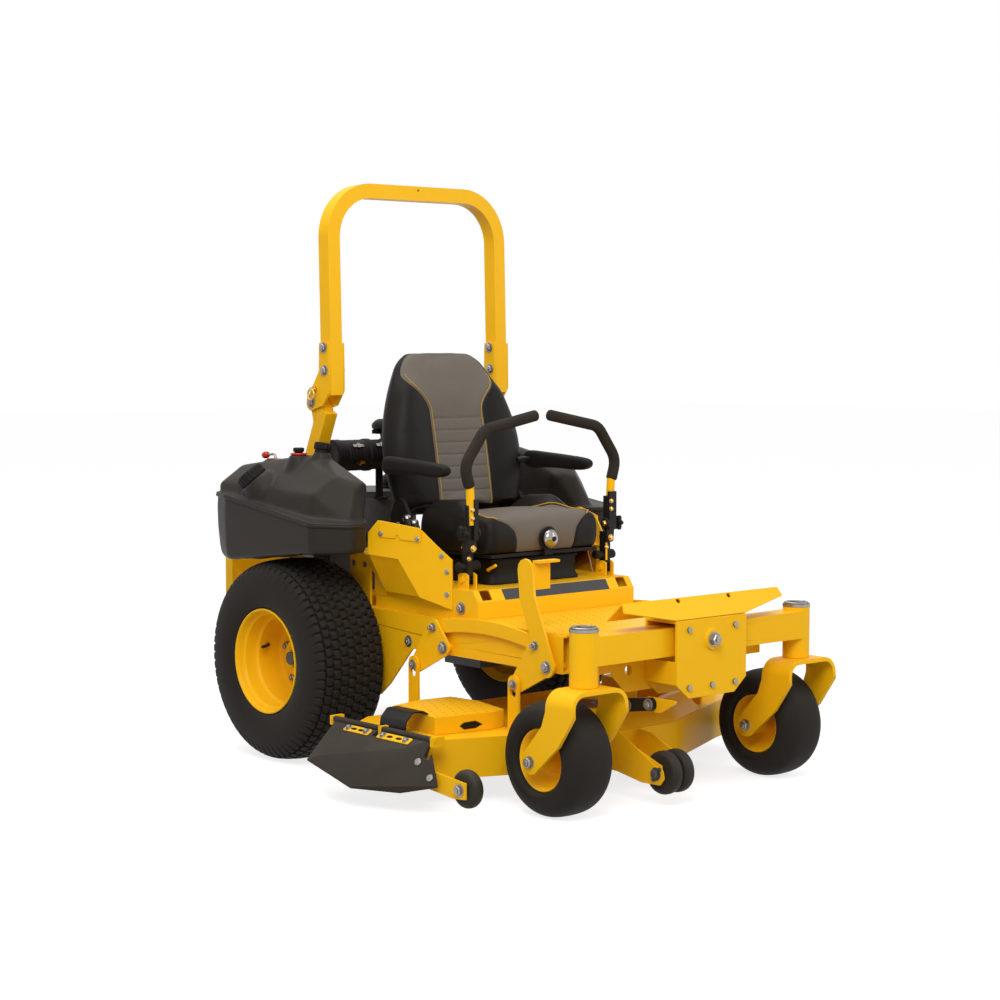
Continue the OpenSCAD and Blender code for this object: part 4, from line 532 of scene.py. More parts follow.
def lobeRing(along, steps, reach):
    # ring about Z whose radius is a function of the angle
    turns = [2 * math.pi * j / steps for j in range(steps)]
    return [Vector((reach(a) * math.cos(a), reach(a) * math.sin(a), along)) for a in turns]


def lobeShape(rows, steps, lobes, power=1):
    # rows are (distance along Z, radius, depth of the hollows between the lobes)
    return loftShape([lobeRing(along, steps, lambda a: radius - deep * (0.5 + 0.5 * math.cos(lobes * a)) ** power)
                      for along, radius, deep in rows])


def aim(place, axis):
    return Matrix.Translation(Vector(place)) @ Vector(axis).to_track_quat("Z", "Y").to_matrix().to_4x4()


def aimX(place, sign=1.0):
    # local Z along X, local X straight up
    turn = Matrix(((0, 0, sign), (0, -sign, 0), (1, 0, 0))).to_4x4()
    return Matrix.Translation(Vector(place)) @ turn


def curveThrough(points, steps):
    points = [Vector(p) for p in points]
    rows = []
    for i in range(len(points) - 1):
        before = points[max(i - 1, 0)]
        first, second = points[i], points[i + 1]
        after = points[min(i + 2, len(points) - 1)]
        for s in range(steps):
            t = s / steps
            rows.append(0.5 * ((2 * first) + (second - before) * t
                               + (2 * before - 5 * first + 4 * second - after) * t * t
                               + (3 * first - before - 3 * second + after) * t ** 3))
    rows.append(points[-1])
    return rows


def filletPath(points, radius, steps=8):
    points = [Vector(p) for p in points]
    rows = [points[0]]
    for i in range(1, len(points) - 1):
        back, ahead = (points[i - 1] - points[i]).normalized(), (points[i + 1] - points[i]).normalized()
        half = back.angle(ahead) / 2
        cut = min(radius / math.tan(half), (points[i - 1] - points[i]).length * 0.48,
                  (points[i + 1] - points[i]).length * 0.48)
        start, end = points[i] + back * cut, points[i] + ahead * cut
        for s in range(steps + 1):
            t = s / steps
            rows.append(start * (1 - t) ** 2 + points[i] * 2 * t * (1 - t) + end * t * t)
    rows.append(points[-1])
    return rows


def tubeShape(path, radius, sides=16, tip=0.0, section=None):
    # radius may be a function of the way along, from 0 to 1; tip rounds both ends
    path = [Vector(p) for p in path]
    if tip > 0:
        first, last = (path[1] - path[0]).normalized(), (path[-1] - path[-2]).normalized()
        eased = (0.0, 0.08, 0.3, 0.65, 1.0)
        path = ([path[0] + first * (tip * d) for d in eased] + path[1:-1]
                + [path[-1] - last * (tip * d) for d in reversed(eased)])
    total = sum((path[i + 1] - path[i]).length for i in range(len(path) - 1))
    heading = (path[1] - path[0]).normalized()
    side = heading.orthogonal().normalized() if section is None else section.normalized()
    side = (side - heading * side.dot(heading)).normalized()
    rings, run = [], 0.0
    for i, here in enumerate(path):
        ahead = (path[min(i + 1, len(path) - 1)] - path[max(i - 1, 0)]).normalized()
        side = (side - ahead * side.dot(ahead)).normalized()
        up = ahead.cross(side)
        if i:
            run += (here - path[i - 1]).length
        r = radius(run / total) if callable(radius) else radius
        if tip > 0:
            gap = min(run, total - run)
            if gap < tip:
                r *= math.sqrt(max(0.0, 1 - (1 - gap / tip) ** 2)) * 0.98 + 0.02
        turns = [2 * math.pi * j / sides for j in range(sides)]
        rings.append([here + side * (r * math.cos(a)) + up * (r * math.sin(a)) for a in turns])
    return loftShape(rings)


def plateShape(outline, axis, low, high):
    # outline rows lie across the axis: YZ for X, XZ for Y, XY for Z
    def spot(p, along):
        return {"X": Vector((along, p[0], p[1])), "Y": Vector((p[0], along, p[1])),
                "Z": Vector((p[0], p[1], along))}[axis]
    rings = [[spot(p, low) for p in outline], [spot(p, high) for p in outline]]
    points, faces = loftShape(rings, False, False)
    count = len(outline)
    return points, faces + [tuple(reversed(range(count))), tuple(range(count, 2 * count))]


def boxShape(low, high):
    outline = [(low[0], low[1]), (high[0], low[1]), (high[0], high[1]), (low[0], high[1])]
    return plateShape(outline, "Z", low[2], high[2])


def roundOutline(points, radius, steps=6):
    rows = []
    for i, here in enumerate(points):
        here = Vector(here)
        back = Vector(points[i - 1]) - here
        ahead = Vector(points[(i + 1) % len(points)]) - here
        half = back.angle(ahead) / 2
        cut = min(radius / max(math.tan(half), 0.05), back.length * 0.45, ahead.length * 0.45)
        start, end = here + back.normalized() * cut, here + ahead.normalized() * cut
        for s in range(steps + 1):
            t = s / steps
            rows.append(start * (1 - t) ** 2 + here * 2 * t * (1 - t) + end * t * t)
    return rows


def roundFlat(rows, radius, steps=6):
    return [(p.x, p.y) for p in roundOutline([Vector((a, b, 0)) for a, b in rows], radius, steps)]


def roundBox(low, high, radius, steps=4):
    corners = [(low[0], low[1]), (high[0], low[1]), (high[0], high[1]), (low[0], high[1])]
    return plateShape(roundFlat(corners, radius, steps), "Z", low[2], high[2])


def makePiece(name, shape, finish, body, sharp=36.0, bevel=0.0, subdivide=0):
    mesh = bpy.data.meshes.new(name)
    mesh.from_pydata([Vector(p) * mm for p in shape[0]], [], shape[1])
    work = bmesh.new()
    work.from_mesh(mesh)
    bmesh.ops.remove_doubles(work, verts=work.verts, dist=0.000005)
    bmesh.ops.recalc_face_normals(work, faces=work.faces)
    work.to_mesh(mesh)
    work.free()
    for entry in ([finish] if isinstance(finish, str) else finish):
        mesh.materials.append(looks[entry])
    for polygon in mesh.polygons:
        polygon.use_smooth = True
    mesh.set_sharp_from_angle(angle=math.radians(sharp))
    obj = bpy.data.objects.new(name, mesh)
    scene.collection.objects.link(obj)
    if bevel > 0:
        soft = obj.modifiers.new("softEdge", "BEVEL")
        soft.width = bevel * mm
        soft.segments = 2
        soft.limit_method = "ANGLE"
        soft.angle_limit = math.radians(38)
        level = obj.modifiers.new("evenNormals", "WEIGHTED_NORMAL")
        level.keep_sharp = True
    if subdivide:
        smooth = obj.modifiers.new("roundForm", "SUBSURF")
        smooth.levels = subdivide
        smooth.render_levels = subdivide
    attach(obj, body)
    return obj


def boltShape(radius, height, washer=0.0, stud=0.0):
    # hexagon head on a washer, base at Z = 0
    shapes = []
    base = 0.0
    if washer > 0:
        base = 2.2
        shapes.append(turnShape([(0.0, washer), (1.6, washer), (base, washer - 0.8)], 28, False))
    rings = []
    for along, size in ((base, 1.0), (base + height - radius * 0.16, 1.0), (base + height, 0.86)):
        turns = [math.pi * j / 3 for j in range(6)]
        rings.append([Vector((radius * size * math.cos(a), radius * size * math.sin(a), along)) for a in turns])
    shapes.append(loftShape(rings))
    if stud > 0:
        shapes.append(turnShape([(base + height - 1, radius * 0.52), (base + height + stud - 1.2, radius * 0.52),
                                 (base + height + stud, radius * 0.4)], 16, False))
    return joinShapes(shapes)


def screwShape(radius):
    # low round head
    return turnShape([(0.0, radius), (radius * 0.25, radius * 0.97), (radius * 0.45, radius * 0.75),
                      (radius * 0.52, radius * 0.4), (radius * 0.44, radius * 0.3)], 20, False)


# rear wheels
rearWheel = {
    "centre": 472.0, "axle": 306.0, "pitches": 64, "stepsPerPitch": 8, "rows": 8, "rowWidth": 26.5,
    "groove": 8.5, "grooveHalf": 2.6, "corner": 6.5,
    "wall": [(0, 306.0), (40, 305.0), (80, 300.5), (104, 292.5), (119, 278.0), (127, 260.0), (131.5, 236.0),
             (133, 212.0), (130, 188.0), (124, 171.0), (119, 163.5)],
    "rim": [(110, 152.0), (114, 156.5), (117.5, 160.0), (120.5, 159.0), (121.5, 156.0), (119, 152.5), (110, 148.5),
            (104, 147.5), (98, 145.5), (93, 140.5), (80, 138.5), (62, 137.0), (56, 134.5), (51, 129.5), (20, 127.5),
            (-8, 125.5), (-19, 121.5), (-25, 112.0), (-25, 64.0), (-22, 60.0), (2, 58.0), (5, 55.0), (5, 34.0),
            (-2, 30.0), (-2, 21.0), (-30, 21.0), (-66, 21.0), (-66, 56.0), (-60, 58.0), (-36, 60.0), (-35, 116.0),
            (-29, 128.0), (-14, 131.0), (-60, 134.0), (-100, 138.0), (-112, 148.0), (-121, 157.0), (-119, 160.0),
            (-115, 157.0), (-110, 152.0)],
}


def treadDrop(turn, across):
    # depth of the groove at an angle (in pitches) and a place across the tread
    spec = rearWheel
    half = spec["rows"] * spec["rowWidth"] / 2
    pitch = 2 * math.pi * 303.0 / spec["pitches"]
    if abs(across) < half:
        row = int((across + half) // spec["rowWidth"])
        dx = across + half - (row + 0.5) * spec["rowWidth"]
    else:
        row = spec["rows"] if across > 0 else -1
        dx = 0.0
    wave = 0.10 * math.sin(2 * math.pi * (across / 53.0))
    local = (turn + 0.5 * (row % 2) + wave) % 1.0 - 0.5
    dy = abs(local) * pitch
    if abs(across) < half:
        qx = abs(dx) - (spec["rowWidth"] / 2 - spec["grooveHalf"] - spec["corner"])
        qy = dy - (pitch / 2 - spec["grooveHalf"] - spec["corner"])
        away = math.hypot(max(qx, 0), max(qy, 0)) + min(max(qx, qy), 0) - spec["corner"]
        fade = 1.0
    else:
        away = dy - (pitch / 2 - spec["grooveHalf"] * 1.2)
        fade = max(0.0, 1.0 - (abs(across) - half) / 46.0) ** 0.8
        if abs(across) - half < spec["grooveHalf"]:
            away = max(away, 0.6)
    return spec["groove"] * fade * min(1.0, max(0.0, (away + 0.9) / 2.4))


def addRearTyre(side, name):
    spec = rearWheel
    rows = curveThrough([(x, r, 0) for x, r in spec["wall"]], 12)
    # even spacing over the tread and the shoulder, wider on the wall
    run, marks = [0.0], []
    for i in range(1, len(rows)):
        run.append(run[-1] + (rows[i] - rows[i - 1]).length)
    spot = 0.0
    while spot < run[-1]:
        marks.append(spot)
        spot += 3.3 if spot < 165 else 8.0
    marks.append(run[-1])
    half = []
    for mark in marks:
        i = max(j for j in range(len(run)) if run[j] <= mark)
        i = min(i, len(rows) - 2)
        t = (mark - run[i]) / max(run[i + 1] - run[i], 1e-6)
        here = rows[i].lerp(rows[i + 1], t)
        lean = (rows[i + 1] - rows[i]).normalized()
        half.append((mark, here[0], here[1], lean[1], -lean[0]))      # arc, x, r, normal x (up to sign), normal r
    line = [(-m, -x, r, -nx, nr) for m, x, r, nx, nr in reversed(half[1:])] + half
    steps = spec["pitches"] * spec["stepsPerPitch"]
    rings = []
    for arc, x, r, nx, nr in line:
        ring = []
        for j in range(steps):
            drop = treadDrop(j / spec["stepsPerPitch"], arc) if abs(arc) < 160 else 0.0
            radius = r + drop * nr
            shift = x + drop * nx
            angle = 2 * math.pi * j / steps
            ring.append(Vector((side * (spec["centre"] + shift), radius * math.cos(angle),
                                spec["axle"] + radius * math.sin(angle))))
        rings.append(ring)
    for x, r in ((-110.5, 160.6), (-110.5, 152.6), (110.5, 152.6), (110.5, 160.6)):
        rings.append([Vector((side * (spec["centre"] - x), r * math.cos(2 * math.pi * j / steps),
                              spec["axle"] + r * math.sin(2 * math.pi * j / steps))) for j in range(steps)])
    rings.append(rings[0])
    points, faces = loftShape(rings, False, False)
    last = (len(rings) - 1) * steps
    faces = [tuple(i - last if i >= last else i for i in loop) for loop in faces]
    tyre = makePiece("rearTyre" + name, (points[:last], faces), "tyreRubber", "rear_wheel_" + name.lower(),
                     48.0)
    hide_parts("rear_tyre_" + name.lower())


def addRearRim(side, name):
    spec = rearWheel
    body = "rear_wheel_" + name.lower()
    centre = (side * spec["centre"], 0.0, spec["axle"])
    rim = makePiece("rearRim" + name, moveShape(turnShape(spec["rim"], 112), aimX(centre, side)), "yellowCoat",
                    body, 30.0)
    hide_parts("rear_rim_" + name.lower())
    nuts = []
    for i in range(5):
        angle = 2 * math.pi * i / 5 + 0.3
        spot = (side * (spec["centre"] - 25), 84 * math.cos(angle), spec["axle"] + 84 * math.sin(angle))
        nuts.append(moveShape(boltShape(12, 12, 15, 6), aim(spot, (side, 0, 0))))
    hub = (side * (spec["centre"] + 5), 0, spec["axle"])
    nuts.append(moveShape(boltShape(19, 14, 26, 6), aim(hub, (side, 0, 0))))
    makePiece("rearNuts" + name, joinShapes(nuts), "zincSteel", body, 30.0)
    valve = filletPath([(side * (spec["centre"] + 20), 122, spec["axle"] + 30),
                        (side * (spec["centre"] + 34), 112, spec["axle"] + 28),
                        (side * (spec["centre"] + 56), 106, spec["axle"] + 26)], 8)
    makePiece("rearValve" + name, tubeShape(valve, lambda t: 5.5 - 1.6 * t + (1.2 if t > 0.7 else 0.0), 12, 2.0),
              "flapRubber", body)


for wheelSide, wheelName in ((-1, "Right"), (1, "Left")):
    addRearTyre(wheelSide, wheelName)
    addRearRim(wheelSide, wheelName)
print("rear wheels built")

# caster wheels
casterWheel = {
    "x": 421.5, "y": -1127.0, "axle": 157.5,
    "wall": [(0, 157.5), (22, 156.8), (42, 154.0), (57, 147.5), (69, 137.0), (76.5, 124.0), (80, 110.0),
             (78.5, 99.0), (73, 91.0), (66, 87.0), (62.5, 86.2)],
    "rim": [(55, 79.2), (58.5, 83.0), (62.5, 85.2), (64.5, 83.0), (62.5, 79.5), (58, 77.0), (55, 74.5), (50, 72.0),
            (44, 70.5), (40, 67.0), (26, 61.0), (14, 50.0), (10, 40.0), (14, 33.0), (34, 29.0), (84, 26.0),
            (88, 24.5), (89, 16.0), (89, 10.4)],      # half of the profile
}


def addCasterWheel(side, name):
    spec = casterWheel
    body = "caster_wheel_" + name.lower()
    centre = (side * spec["x"], spec["y"], spec["axle"])
    wall = [(p[0], p[1]) for p in curveThrough([(x, r, 0) for x, r in spec["wall"]], 4)]
    # shallow moulding rings on the wall
    wall = [(x, r - 0.7 * math.exp(-((r - 121) / 1.6) ** 2) - 0.7 * math.exp(-((r - 101) / 1.4) ** 2))
            for x, r in wall]
    inside = [(55.5, 86.0), (55.5, 79.6), (-55.5, 79.6), (-55.5, 86.0)]
    loop = [(-x, r) for x, r in reversed(wall[1:])] + wall + inside
    tyre = makePiece("casterTyre" + name, moveShape(turnShape(loop, 112), aimX(centre, side)), "tyreRubber", body,
                     50.0)
    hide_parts("caster_tyre_" + name.lower())
    profile = spec["rim"] + [(-x, r) for x, r in reversed(spec["rim"])]
    rim = makePiece("casterRim" + name, moveShape(turnShape(profile, 96), aimX(centre, side)), "yellowCoat",
                    body, 34.0)
    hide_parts("caster_rim_" + name.lower())


for wheelSide, wheelName in ((-1, "Right"), (1, "Left")):
    addCasterWheel(wheelSide, wheelName)
print("caster wheels built")

# fuel tanks, drawn for the left side and mirrored for the right
tankForm = {
    "inner": 364.0, "round": 16.0, "voxel": 5.5, "smoothing": 6,
    "plan": [(364, -190), (370, -200), (438, -306), (508, -338), (600, -250), (600, 190), (574, 268), (504, 306),
             (364, 306)],
    "floorLine": [(-340, 646), (-82, 646), (-30, 638), (70, 624), (130, 600), (240, 600), (292, 632), (306, 690)],
    "ledgeLine": [(-345, 738), (-250, 742), (190, 804), (310, 808)],
    "shoulder": [(390, -200, 728), (448, -282, 728), (486, -282, 728), (550, -190, 728), (572, 232, 788),
                 (512, 284, 790), (390, 284, 790)],
    "crown": [(390, -222, 838), (404, -236, 836), (442, -256, 826), (471, -204, 859), (532, -178, 808),
              (392, -46, 908), (430, 0, 910), (490, 72, 866), (390, 194, 882), (486, 256, 872), (556, 262, 824),
              (390, 256, 868)],
    "cap": (543.0, 104.0, 841.0), "capAxis": (0.476288, 0.438371, 0.762221), "capRadius": 46.0,
    "beadHeight": 15.0, "beadProud": 5.0,
    "throttle": (432.0, 160.0, 906.0), "switch": (452.0, 12.0, 922.0),
}


def lineAt(rows, spot):
    if spot <= rows[0][0]:
        return rows[0][1]
    for (a, first), (b, second) in zip(rows, rows[1:]):
        if spot <= b:
            return first + (second - first) * (spot - a) / (b - a)
    return rows[-1][1]


def hullShape(points):
    work = bmesh.new()
    for p in points:
        work.verts.new(p)
    bmesh.ops.convex_hull(work, input=work.verts)
    loose = [v for v in work.verts if not v.link_faces]
    bmesh.ops.delete(work, geom=loose, context="VERTS")
    work.verts.index_update()
    shape = ([v.co.copy() for v in work.verts], [tuple(v.index for v in f.verts) for f in work.faces])
    work.free()
    return shape


def softUnion(name, shapes, voxel, smoothing):
    # one skin around overlapping closed shapes, its edges eased
    points, faces = joinShapes(shapes)
    mesh = bpy.data.meshes.new(name + "Raw")
    mesh.from_pydata([Vector(p) * mm for p in points], [], faces)
    work = bmesh.new()
    work.from_mesh(mesh)
    bmesh.ops.remove_doubles(work, verts=work.verts, dist=0.00001)
    bmesh.ops.recalc_face_normals(work, faces=work.faces)
    work.to_mesh(mesh)
    work.free()
    obj = bpy.data.objects.new(name + "Raw", mesh)
    scene.collection.objects.link(obj)
    skin = obj.modifiers.new("skin", "REMESH")
    skin.mode = "VOXEL"
    skin.voxel_size = voxel * mm
    ease = obj.modifiers.new("ease", "SMOOTH")
    ease.factor = 0.5
    ease.iterations = smoothing
    bpy.context.view_layer.update()
    done = obj.evaluated_get(bpy.context.evaluated_depsgraph_get()).to_mesh()
    shape = ([v.co / mm for v in done.vertices], [tuple(p.vertices) for p in done.polygons])
    obj.to_mesh_clear()
    bpy.data.objects.remove(obj)
    bpy.data.meshes.remove(mesh)
    return shape


def tankShape(controls):
    form = tankForm
    outline = roundOutline([Vector((x, y, 0)) for x, y in form["plan"]], 34, 5)
    middle = Vector((470, -10, 0))
    floorLine, ledgeLine = form["floorLine"], form["ledgeLine"]

    def ring(scale, height, bulge=0.0):
        rows = []
        for p in outline:
            q = middle + (p - middle) * scale
            low, high = lineAt(floorLine, q.y), lineAt(ledgeLine, q.y)
            spot = Vector((q.x, q.y, low + (high - low) * height))
            if bulge and q.y > 150:
                spot += Vector((0.25, 1, 0)) * bulge * min(1.0, (q.y - 150) / 100)
            rows.append(spot)
        return rows
    lower = loftShape([ring(0.5, 0.0), ring(0.93, 0.0), ring(0.985, 0.05), ring(1.0, 0.16), ring(1.0, 0.45, 7),
                       ring(1.0, 0.75, 9), ring(1.0, 0.97, 6), ring(0.97, 1.0, 3), ring(0.5, 1.0)])
    spots = []
    for p in form["shoulder"] + form["crown"]:
        for dx in (-1, 0, 1):
            for dy in (-1, 0, 1):
                for dz in (-1, 0, 1):
                    if (dx, dy, dz) != (0, 0, 0):
                        spots.append(Vector(p) + Vector((dx, dy, dz)).normalized() * form["round"])
    spots = [Vector((max(p.x, form["inner"] + 0.5), p.y, p.z)) for p in spots]
    axis = Vector(form["capAxis"])
    boss = moveShape(turnShape([(-70, 74), (-20, 64), (2, 55), (10, 51), (11, 47)], 40, False),
                     aim(form["cap"], axis))
    shapes = [lower, hullShape(spots), boss]
    if controls:
        t, s = form["throttle"], form["switch"]
        shapes.append(boxShape((t[0] - 17, t[1] - 40, t[2] - 34), (t[0] + 17, t[1] + 40, t[2] + 1)))
        shapes.append(moveShape(turnShape([(-46, 48), (-12, 34), (3, 27), (4, 22)], 36, False), aim(s, (0, 0, 1))))
        shapes.append(moveShape(turnShape([(-40, 40), (0, 30), (16, 25), (17, 20)], 32, False),
                                aim((412, -52, 918), (-0.2, 0, 1))))
    points, faces = softUnion("tank", shapes, form["voxel"], form["smoothing"])
    # flat seat under the cap, and a clean inner wall
    spot = Vector(form["cap"])
    for p in points:
        height = (p - spot).dot(axis)
        if height > 10.5 and ((p - spot) - axis * height).length < form["capRadius"] + 4:
            p -= axis * (height - 10.5)
        if p.x < form["inner"] + 3:
            p.x = max(p.x, form["inner"] + 0.4)
    return points, faces


def beadShape():
    # rolled lip where the two halves of the tank meet, round the front and the outer side
    form = tankForm
    outline = roundOutline([Vector((x, y, 0)) for x, y in form["plan"]], 34, 6)
    path = [p for p in outline if p.x > form["inner"] + 4 or p.y < -150]
    path = path[:-4]
    high, proud = form["beadHeight"], form["beadProud"]
    section = [(-6, 0), (proud * 0.5, 0.8), (proud, 3.0), (proud, high * 0.55), (proud * 0.62, high * 0.64),
               (proud * 0.75, high * 0.78), (proud * 0.5, high * 0.95), (-1, high), (-6, high)]
    rings = []
    for i, p in enumerate(path):
        along = (path[min(i + 1, len(path) - 1)] - path[max(i - 1, 0)]).normalized()
        out = Vector((along.y, -along.x, 0))
        lift = 6.0 if p.y > 150 else 0.0
        base = lineAt(form["ledgeLine"], p.y) - high
        rings.append([p + out * (x + lift * min(1.0, max(0.0, (p.y - 150) / 100))) + Vector((0, 0, base + z))
                      for x, z in section])
    return loftShape(rings)


def capShape():
    # ribbed fuel cap about Z: 18 finger grips on a shallow domed top
    return lobeShape([(12, 44.0, 0), (14, 45.5, 1.2), (17, 45.8, 2.6), (36, 45.4, 2.6), (40, 44.6, 1.4),
                      (42.5, 42.6, 0.4), (44.5, 39.5, 0), (45.2, 36.0, 0), (44.0, 34.5, 0), (44.0, 12.0, 0),
                      (45.0, 10.0, 0), (45.4, 4.0, 0)], 144, 18, 2)


def capMark():
    # pale arc with an arrow end on the cap's top
    rows = []
    for i in range(13):
        angle = math.radians(30 + 100 * i / 12)
        wide = 1.5 if i < 10 else 4.0 * (13 - i) / 3
        corners = ((22 + wide, 44.3), (22 + wide, 43.5), (22 - wide, 43.5), (22 - wide, 44.3))
        rows.append([Vector((reach * math.cos(angle), reach * math.sin(angle), z)) for reach, z in corners])
    return loftShape(rows)


def addTanks():
    spot = aim(tankForm["cap"], Vector(tankForm["capAxis"]))
    for side, name in ((1, "Left"), (-1, "Right")):
        capBody = "fuel_cap_" + name.lower()
        body = makePiece("tank" + name, onSide(tankShape(side < 0), side), "tankPlastic", "chassis",
                         60.0)
        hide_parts("tank_" + name.lower())
        makePiece("tankBead" + name, onSide(beadShape(), side), "tankPlastic", "chassis", 44.0, 0.8)
        cap = makePiece("fuelCap" + name, onSide(moveShape(capShape(), spot), side), "blackPlastic", capBody,
                        40.0)
        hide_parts(capBody)
        makePiece("capMark" + name, onSide(moveShape(capMark(), spot), side), "paleMark", capBody)


def addTankControls():
    form = tankForm
    t, s = form["throttle"], form["switch"]
    x, pivotY, pivotZ = -t[0], t[1], t[2] - 10
    stick = filletPath([(x, pivotY, pivotZ), (x, pivotY + 6, pivotZ + 26), (x, pivotY + 52, pivotZ + 22)], 12)
    lever = makePiece("throttleStick", joinShapes([tubeShape(stick, lambda w: 4.2 - 0.6 * w, 14),
                                                   moveShape(turnShape([(-2.6, 8), (2.6, 8)], 24, False),
                                                           aimX((x, pivotY, pivotZ)))]),
                      "zincSteel", "throttle_lever")
    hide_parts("throttle_lever")
    knob = tubeShape([(x, pivotY + 42, pivotZ + 23), (x, pivotY + 56, pivotZ + 21), (x, pivotY + 70, pivotZ + 19)],
                     lambda w: 9.5 + 1.5 * math.sin(math.pi * w), 24, 7)
    makePiece("throttleKnob", knob, "redPlastic", "throttle_lever")
    plate = roundBox((x - 13, pivotY - 34, t[2] - 1.5), (x + 13, pivotY + 34, t[2] + 2.0), 6, 4)
    makePiece("throttlePlate", plate, "redPlastic", "chassis", 36.0, 0.6)
    slotPlate = boxShape((x - 4, pivotY - 27, t[2] + 0.5), (x + 4, pivotY + 27, t[2] + 2.4))
    makePiece("throttleSlot", slotPlate, "flapRubber", "chassis", 36.0, 0.3)
    ring = turnShape([(0, 17), (5, 25), (8, 25.5), (10, 23.5), (10, 18.5), (4, 16)], 40)
    makePiece("switchRing", moveShape(ring, aim((-s[0], s[1], s[2]), (0, 0, 1))), "redPlastic", "chassis",
              40.0, 0.4)
    button = lobeShape([(4.4, 7, 0), (4.6, 11.5, 0), (11, 11.5, 0), (13, 15, 0.4), (15, 17, 1.2), (22, 17.5, 1.4),
                        (25, 16.4, 0.8), (26, 13, 0), (25.4, 8, 0)], 72, 12)
    button = makePiece("bladeSwitch", moveShape(button, aim((-s[0], s[1], s[2]), (0, 0, 1))), "blackPlastic",
                       "blade_switch", 40.0)
    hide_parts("blade_switch")
    # ribbed plug beside the post
    plug = lobeShape([(0, 22, 0), (8, 22, 0), (10, 25, 0.6), (12, 27, 2.0), (26, 27, 2.2), (30, 25.6, 1.2),
                      (32, 22, 0), (31.5, 12, 0)], 84, 14)
    makePiece("tankPlug", moveShape(plug, aim((-412, -52, 932), (0.2, 0, 1))), "blackPlastic", "chassis",
              40.0)


addTanks()
addTankControls()
print("tanks, caps and controls built")

# seat: sewn covers blown up by cloth between their pinned seams
seatBack = {
    "hinge": (0.0, -212.0, 715.0), "lean": -12.5, "low": 26.0, "length": 532.0, "half": 266.0, "thick": 92.0,
    "bolster": 54.0, "seam": 107.0, "flareFrom": 0.60, "flareTo": 0.875, "sewnFrom": 0.12, "sewnStep": 0.075,
    "sewnLines": 7, "sideCols": 12, "middleCols": 26, "rearCols": 20, "rows": 64, "pressure": 4.0, "cap": 22.0,
    "stitch": 7.5,
}
seatCushion = {
    "half": 224.0, "sideCols": 11, "middleCols": 24, "pressure": 4.0, "cap": 22.0, "hipRise": 46.0,
    "profile": [(-604, 651), (-613, 668), (-616, 695), (-614, 722), (-606, 743), (-590, 755), (-566, 760),
                (-530, 761), (-480, 759), (-420, 756), (-360, 752), (-310, 748), (-286, 740), (-277, 722),
                (-275, 695), (-277, 668), (-284, 651), (-400, 650), (-500, 650)],
    "seamRows": [(651, 112), (690, 116), (715, 124), (735, 146), (748, 172), (757, 194)],
    "seamTop": [(-575, 203), (-545, 198), (-510, 178), (-475, 150), (-440, 126), (-390, 112), (-277, 108)],
}


def smoothStep(low, high, value):
    t = min(1.0, max(0.0, (value - low) / (high - low)))
    return t * t * (3 - 2 * t)


def inflate(name, points, faces, pinned, pressure, cap):
    # cloth with inner pressure; the result is kept in the point list
    mesh = bpy.data.meshes.new(name + "Cloth")
    mesh.from_pydata([Vector(p) * mm for p in points], [], faces)
    work = bmesh.new()
    work.from_mesh(mesh)
    bmesh.ops.recalc_face_normals(work, faces=work.faces)
    work.to_mesh(mesh)
    work.free()
    obj = bpy.data.objects.new(name + "Cloth", mesh)
    scene.collection.objects.link(obj)
    group = obj.vertex_groups.new(name="seams")
    group.add(sorted(pinned), 1.0, "REPLACE")
    cloth = obj.modifiers.new("cloth", "CLOTH")
    cloth.settings.quality = 6
    cloth.settings.mass = 0.25
    cloth.settings.tension_stiffness = 18
    cloth.settings.compression_stiffness = 18
    cloth.settings.bending_stiffness = 0.8
    cloth.settings.use_pressure = True
    cloth.settings.uniform_pressure_force = pressure
    cloth.settings.vertex_group_mass = "seams"
    cloth.settings.effector_weights.gravity = 0.0
    cloth.point_cache.frame_start = 1
    cloth.point_cache.frame_end = 20
    for step in range(1, 21):
        scene.frame_set(step)
    done = obj.evaluated_get(bpy.context.evaluated_depsgraph_get()).to_mesh()
    moved = []
    for before, vertex in zip(points, done.vertices):
        shift = vertex.co / mm - Vector(before)
        if shift.length > cap:
            shift = shift.normalized() * cap
        moved.append(Vector(before) + shift)
    obj.to_mesh_clear()
    scene.frame_set(1)
    bpy.data.objects.remove(obj)
    bpy.data.meshes.remove(mesh)
    return moved


def gridFaces(rows, cols, wrapCols):
    faces = []
    for i in range(rows - 1):
        for j in range(cols if wrapCols else cols - 1):
            k = (j + 1) % cols
            faces.append((i * cols + j, i * cols + k, (i + 1) * cols + k, (i + 1) * cols + j))
    return faces


def stitchShapes(path, length, gap, radius, lift):
    # short capsules of thread along a path of (point, normal) rows
    shapes, run, total = [], [0.0], 0.0
    for i in range(1, len(path)):
        total += (path[i][0] - path[i - 1][0]).length
        run.append(total)

    def at(distance):
        i = min(max(j for j in range(len(run)) if run[j] <= distance), len(path) - 2)
        t = (distance - run[i]) / max(run[i + 1] - run[i], 1e-6)
        return path[i][0].lerp(path[i + 1][0], t), path[i][1].lerp(path[i + 1][1], t).normalized()
    spot = gap
    while spot + length < total:
        rows = []
        for f, up in ((0.0, -0.7), (0.18, 0.4), (0.5, 0.75), (0.82, 0.4), (1.0, -0.7)):
            p, n = at(spot + length * f)
            rows.append(p + n * (lift + radius * up))
        shapes.append(tubeShape(rows, radius, 6))
        spot += length + gap
    return joinShapes(shapes)


def seamSteps(gap, span, count):
    # shares of a panel's width, with a narrow step at either seam
    return [0.0, gap] + [gap + span * i / count for i in range(1, count + 1)] + [1.0]


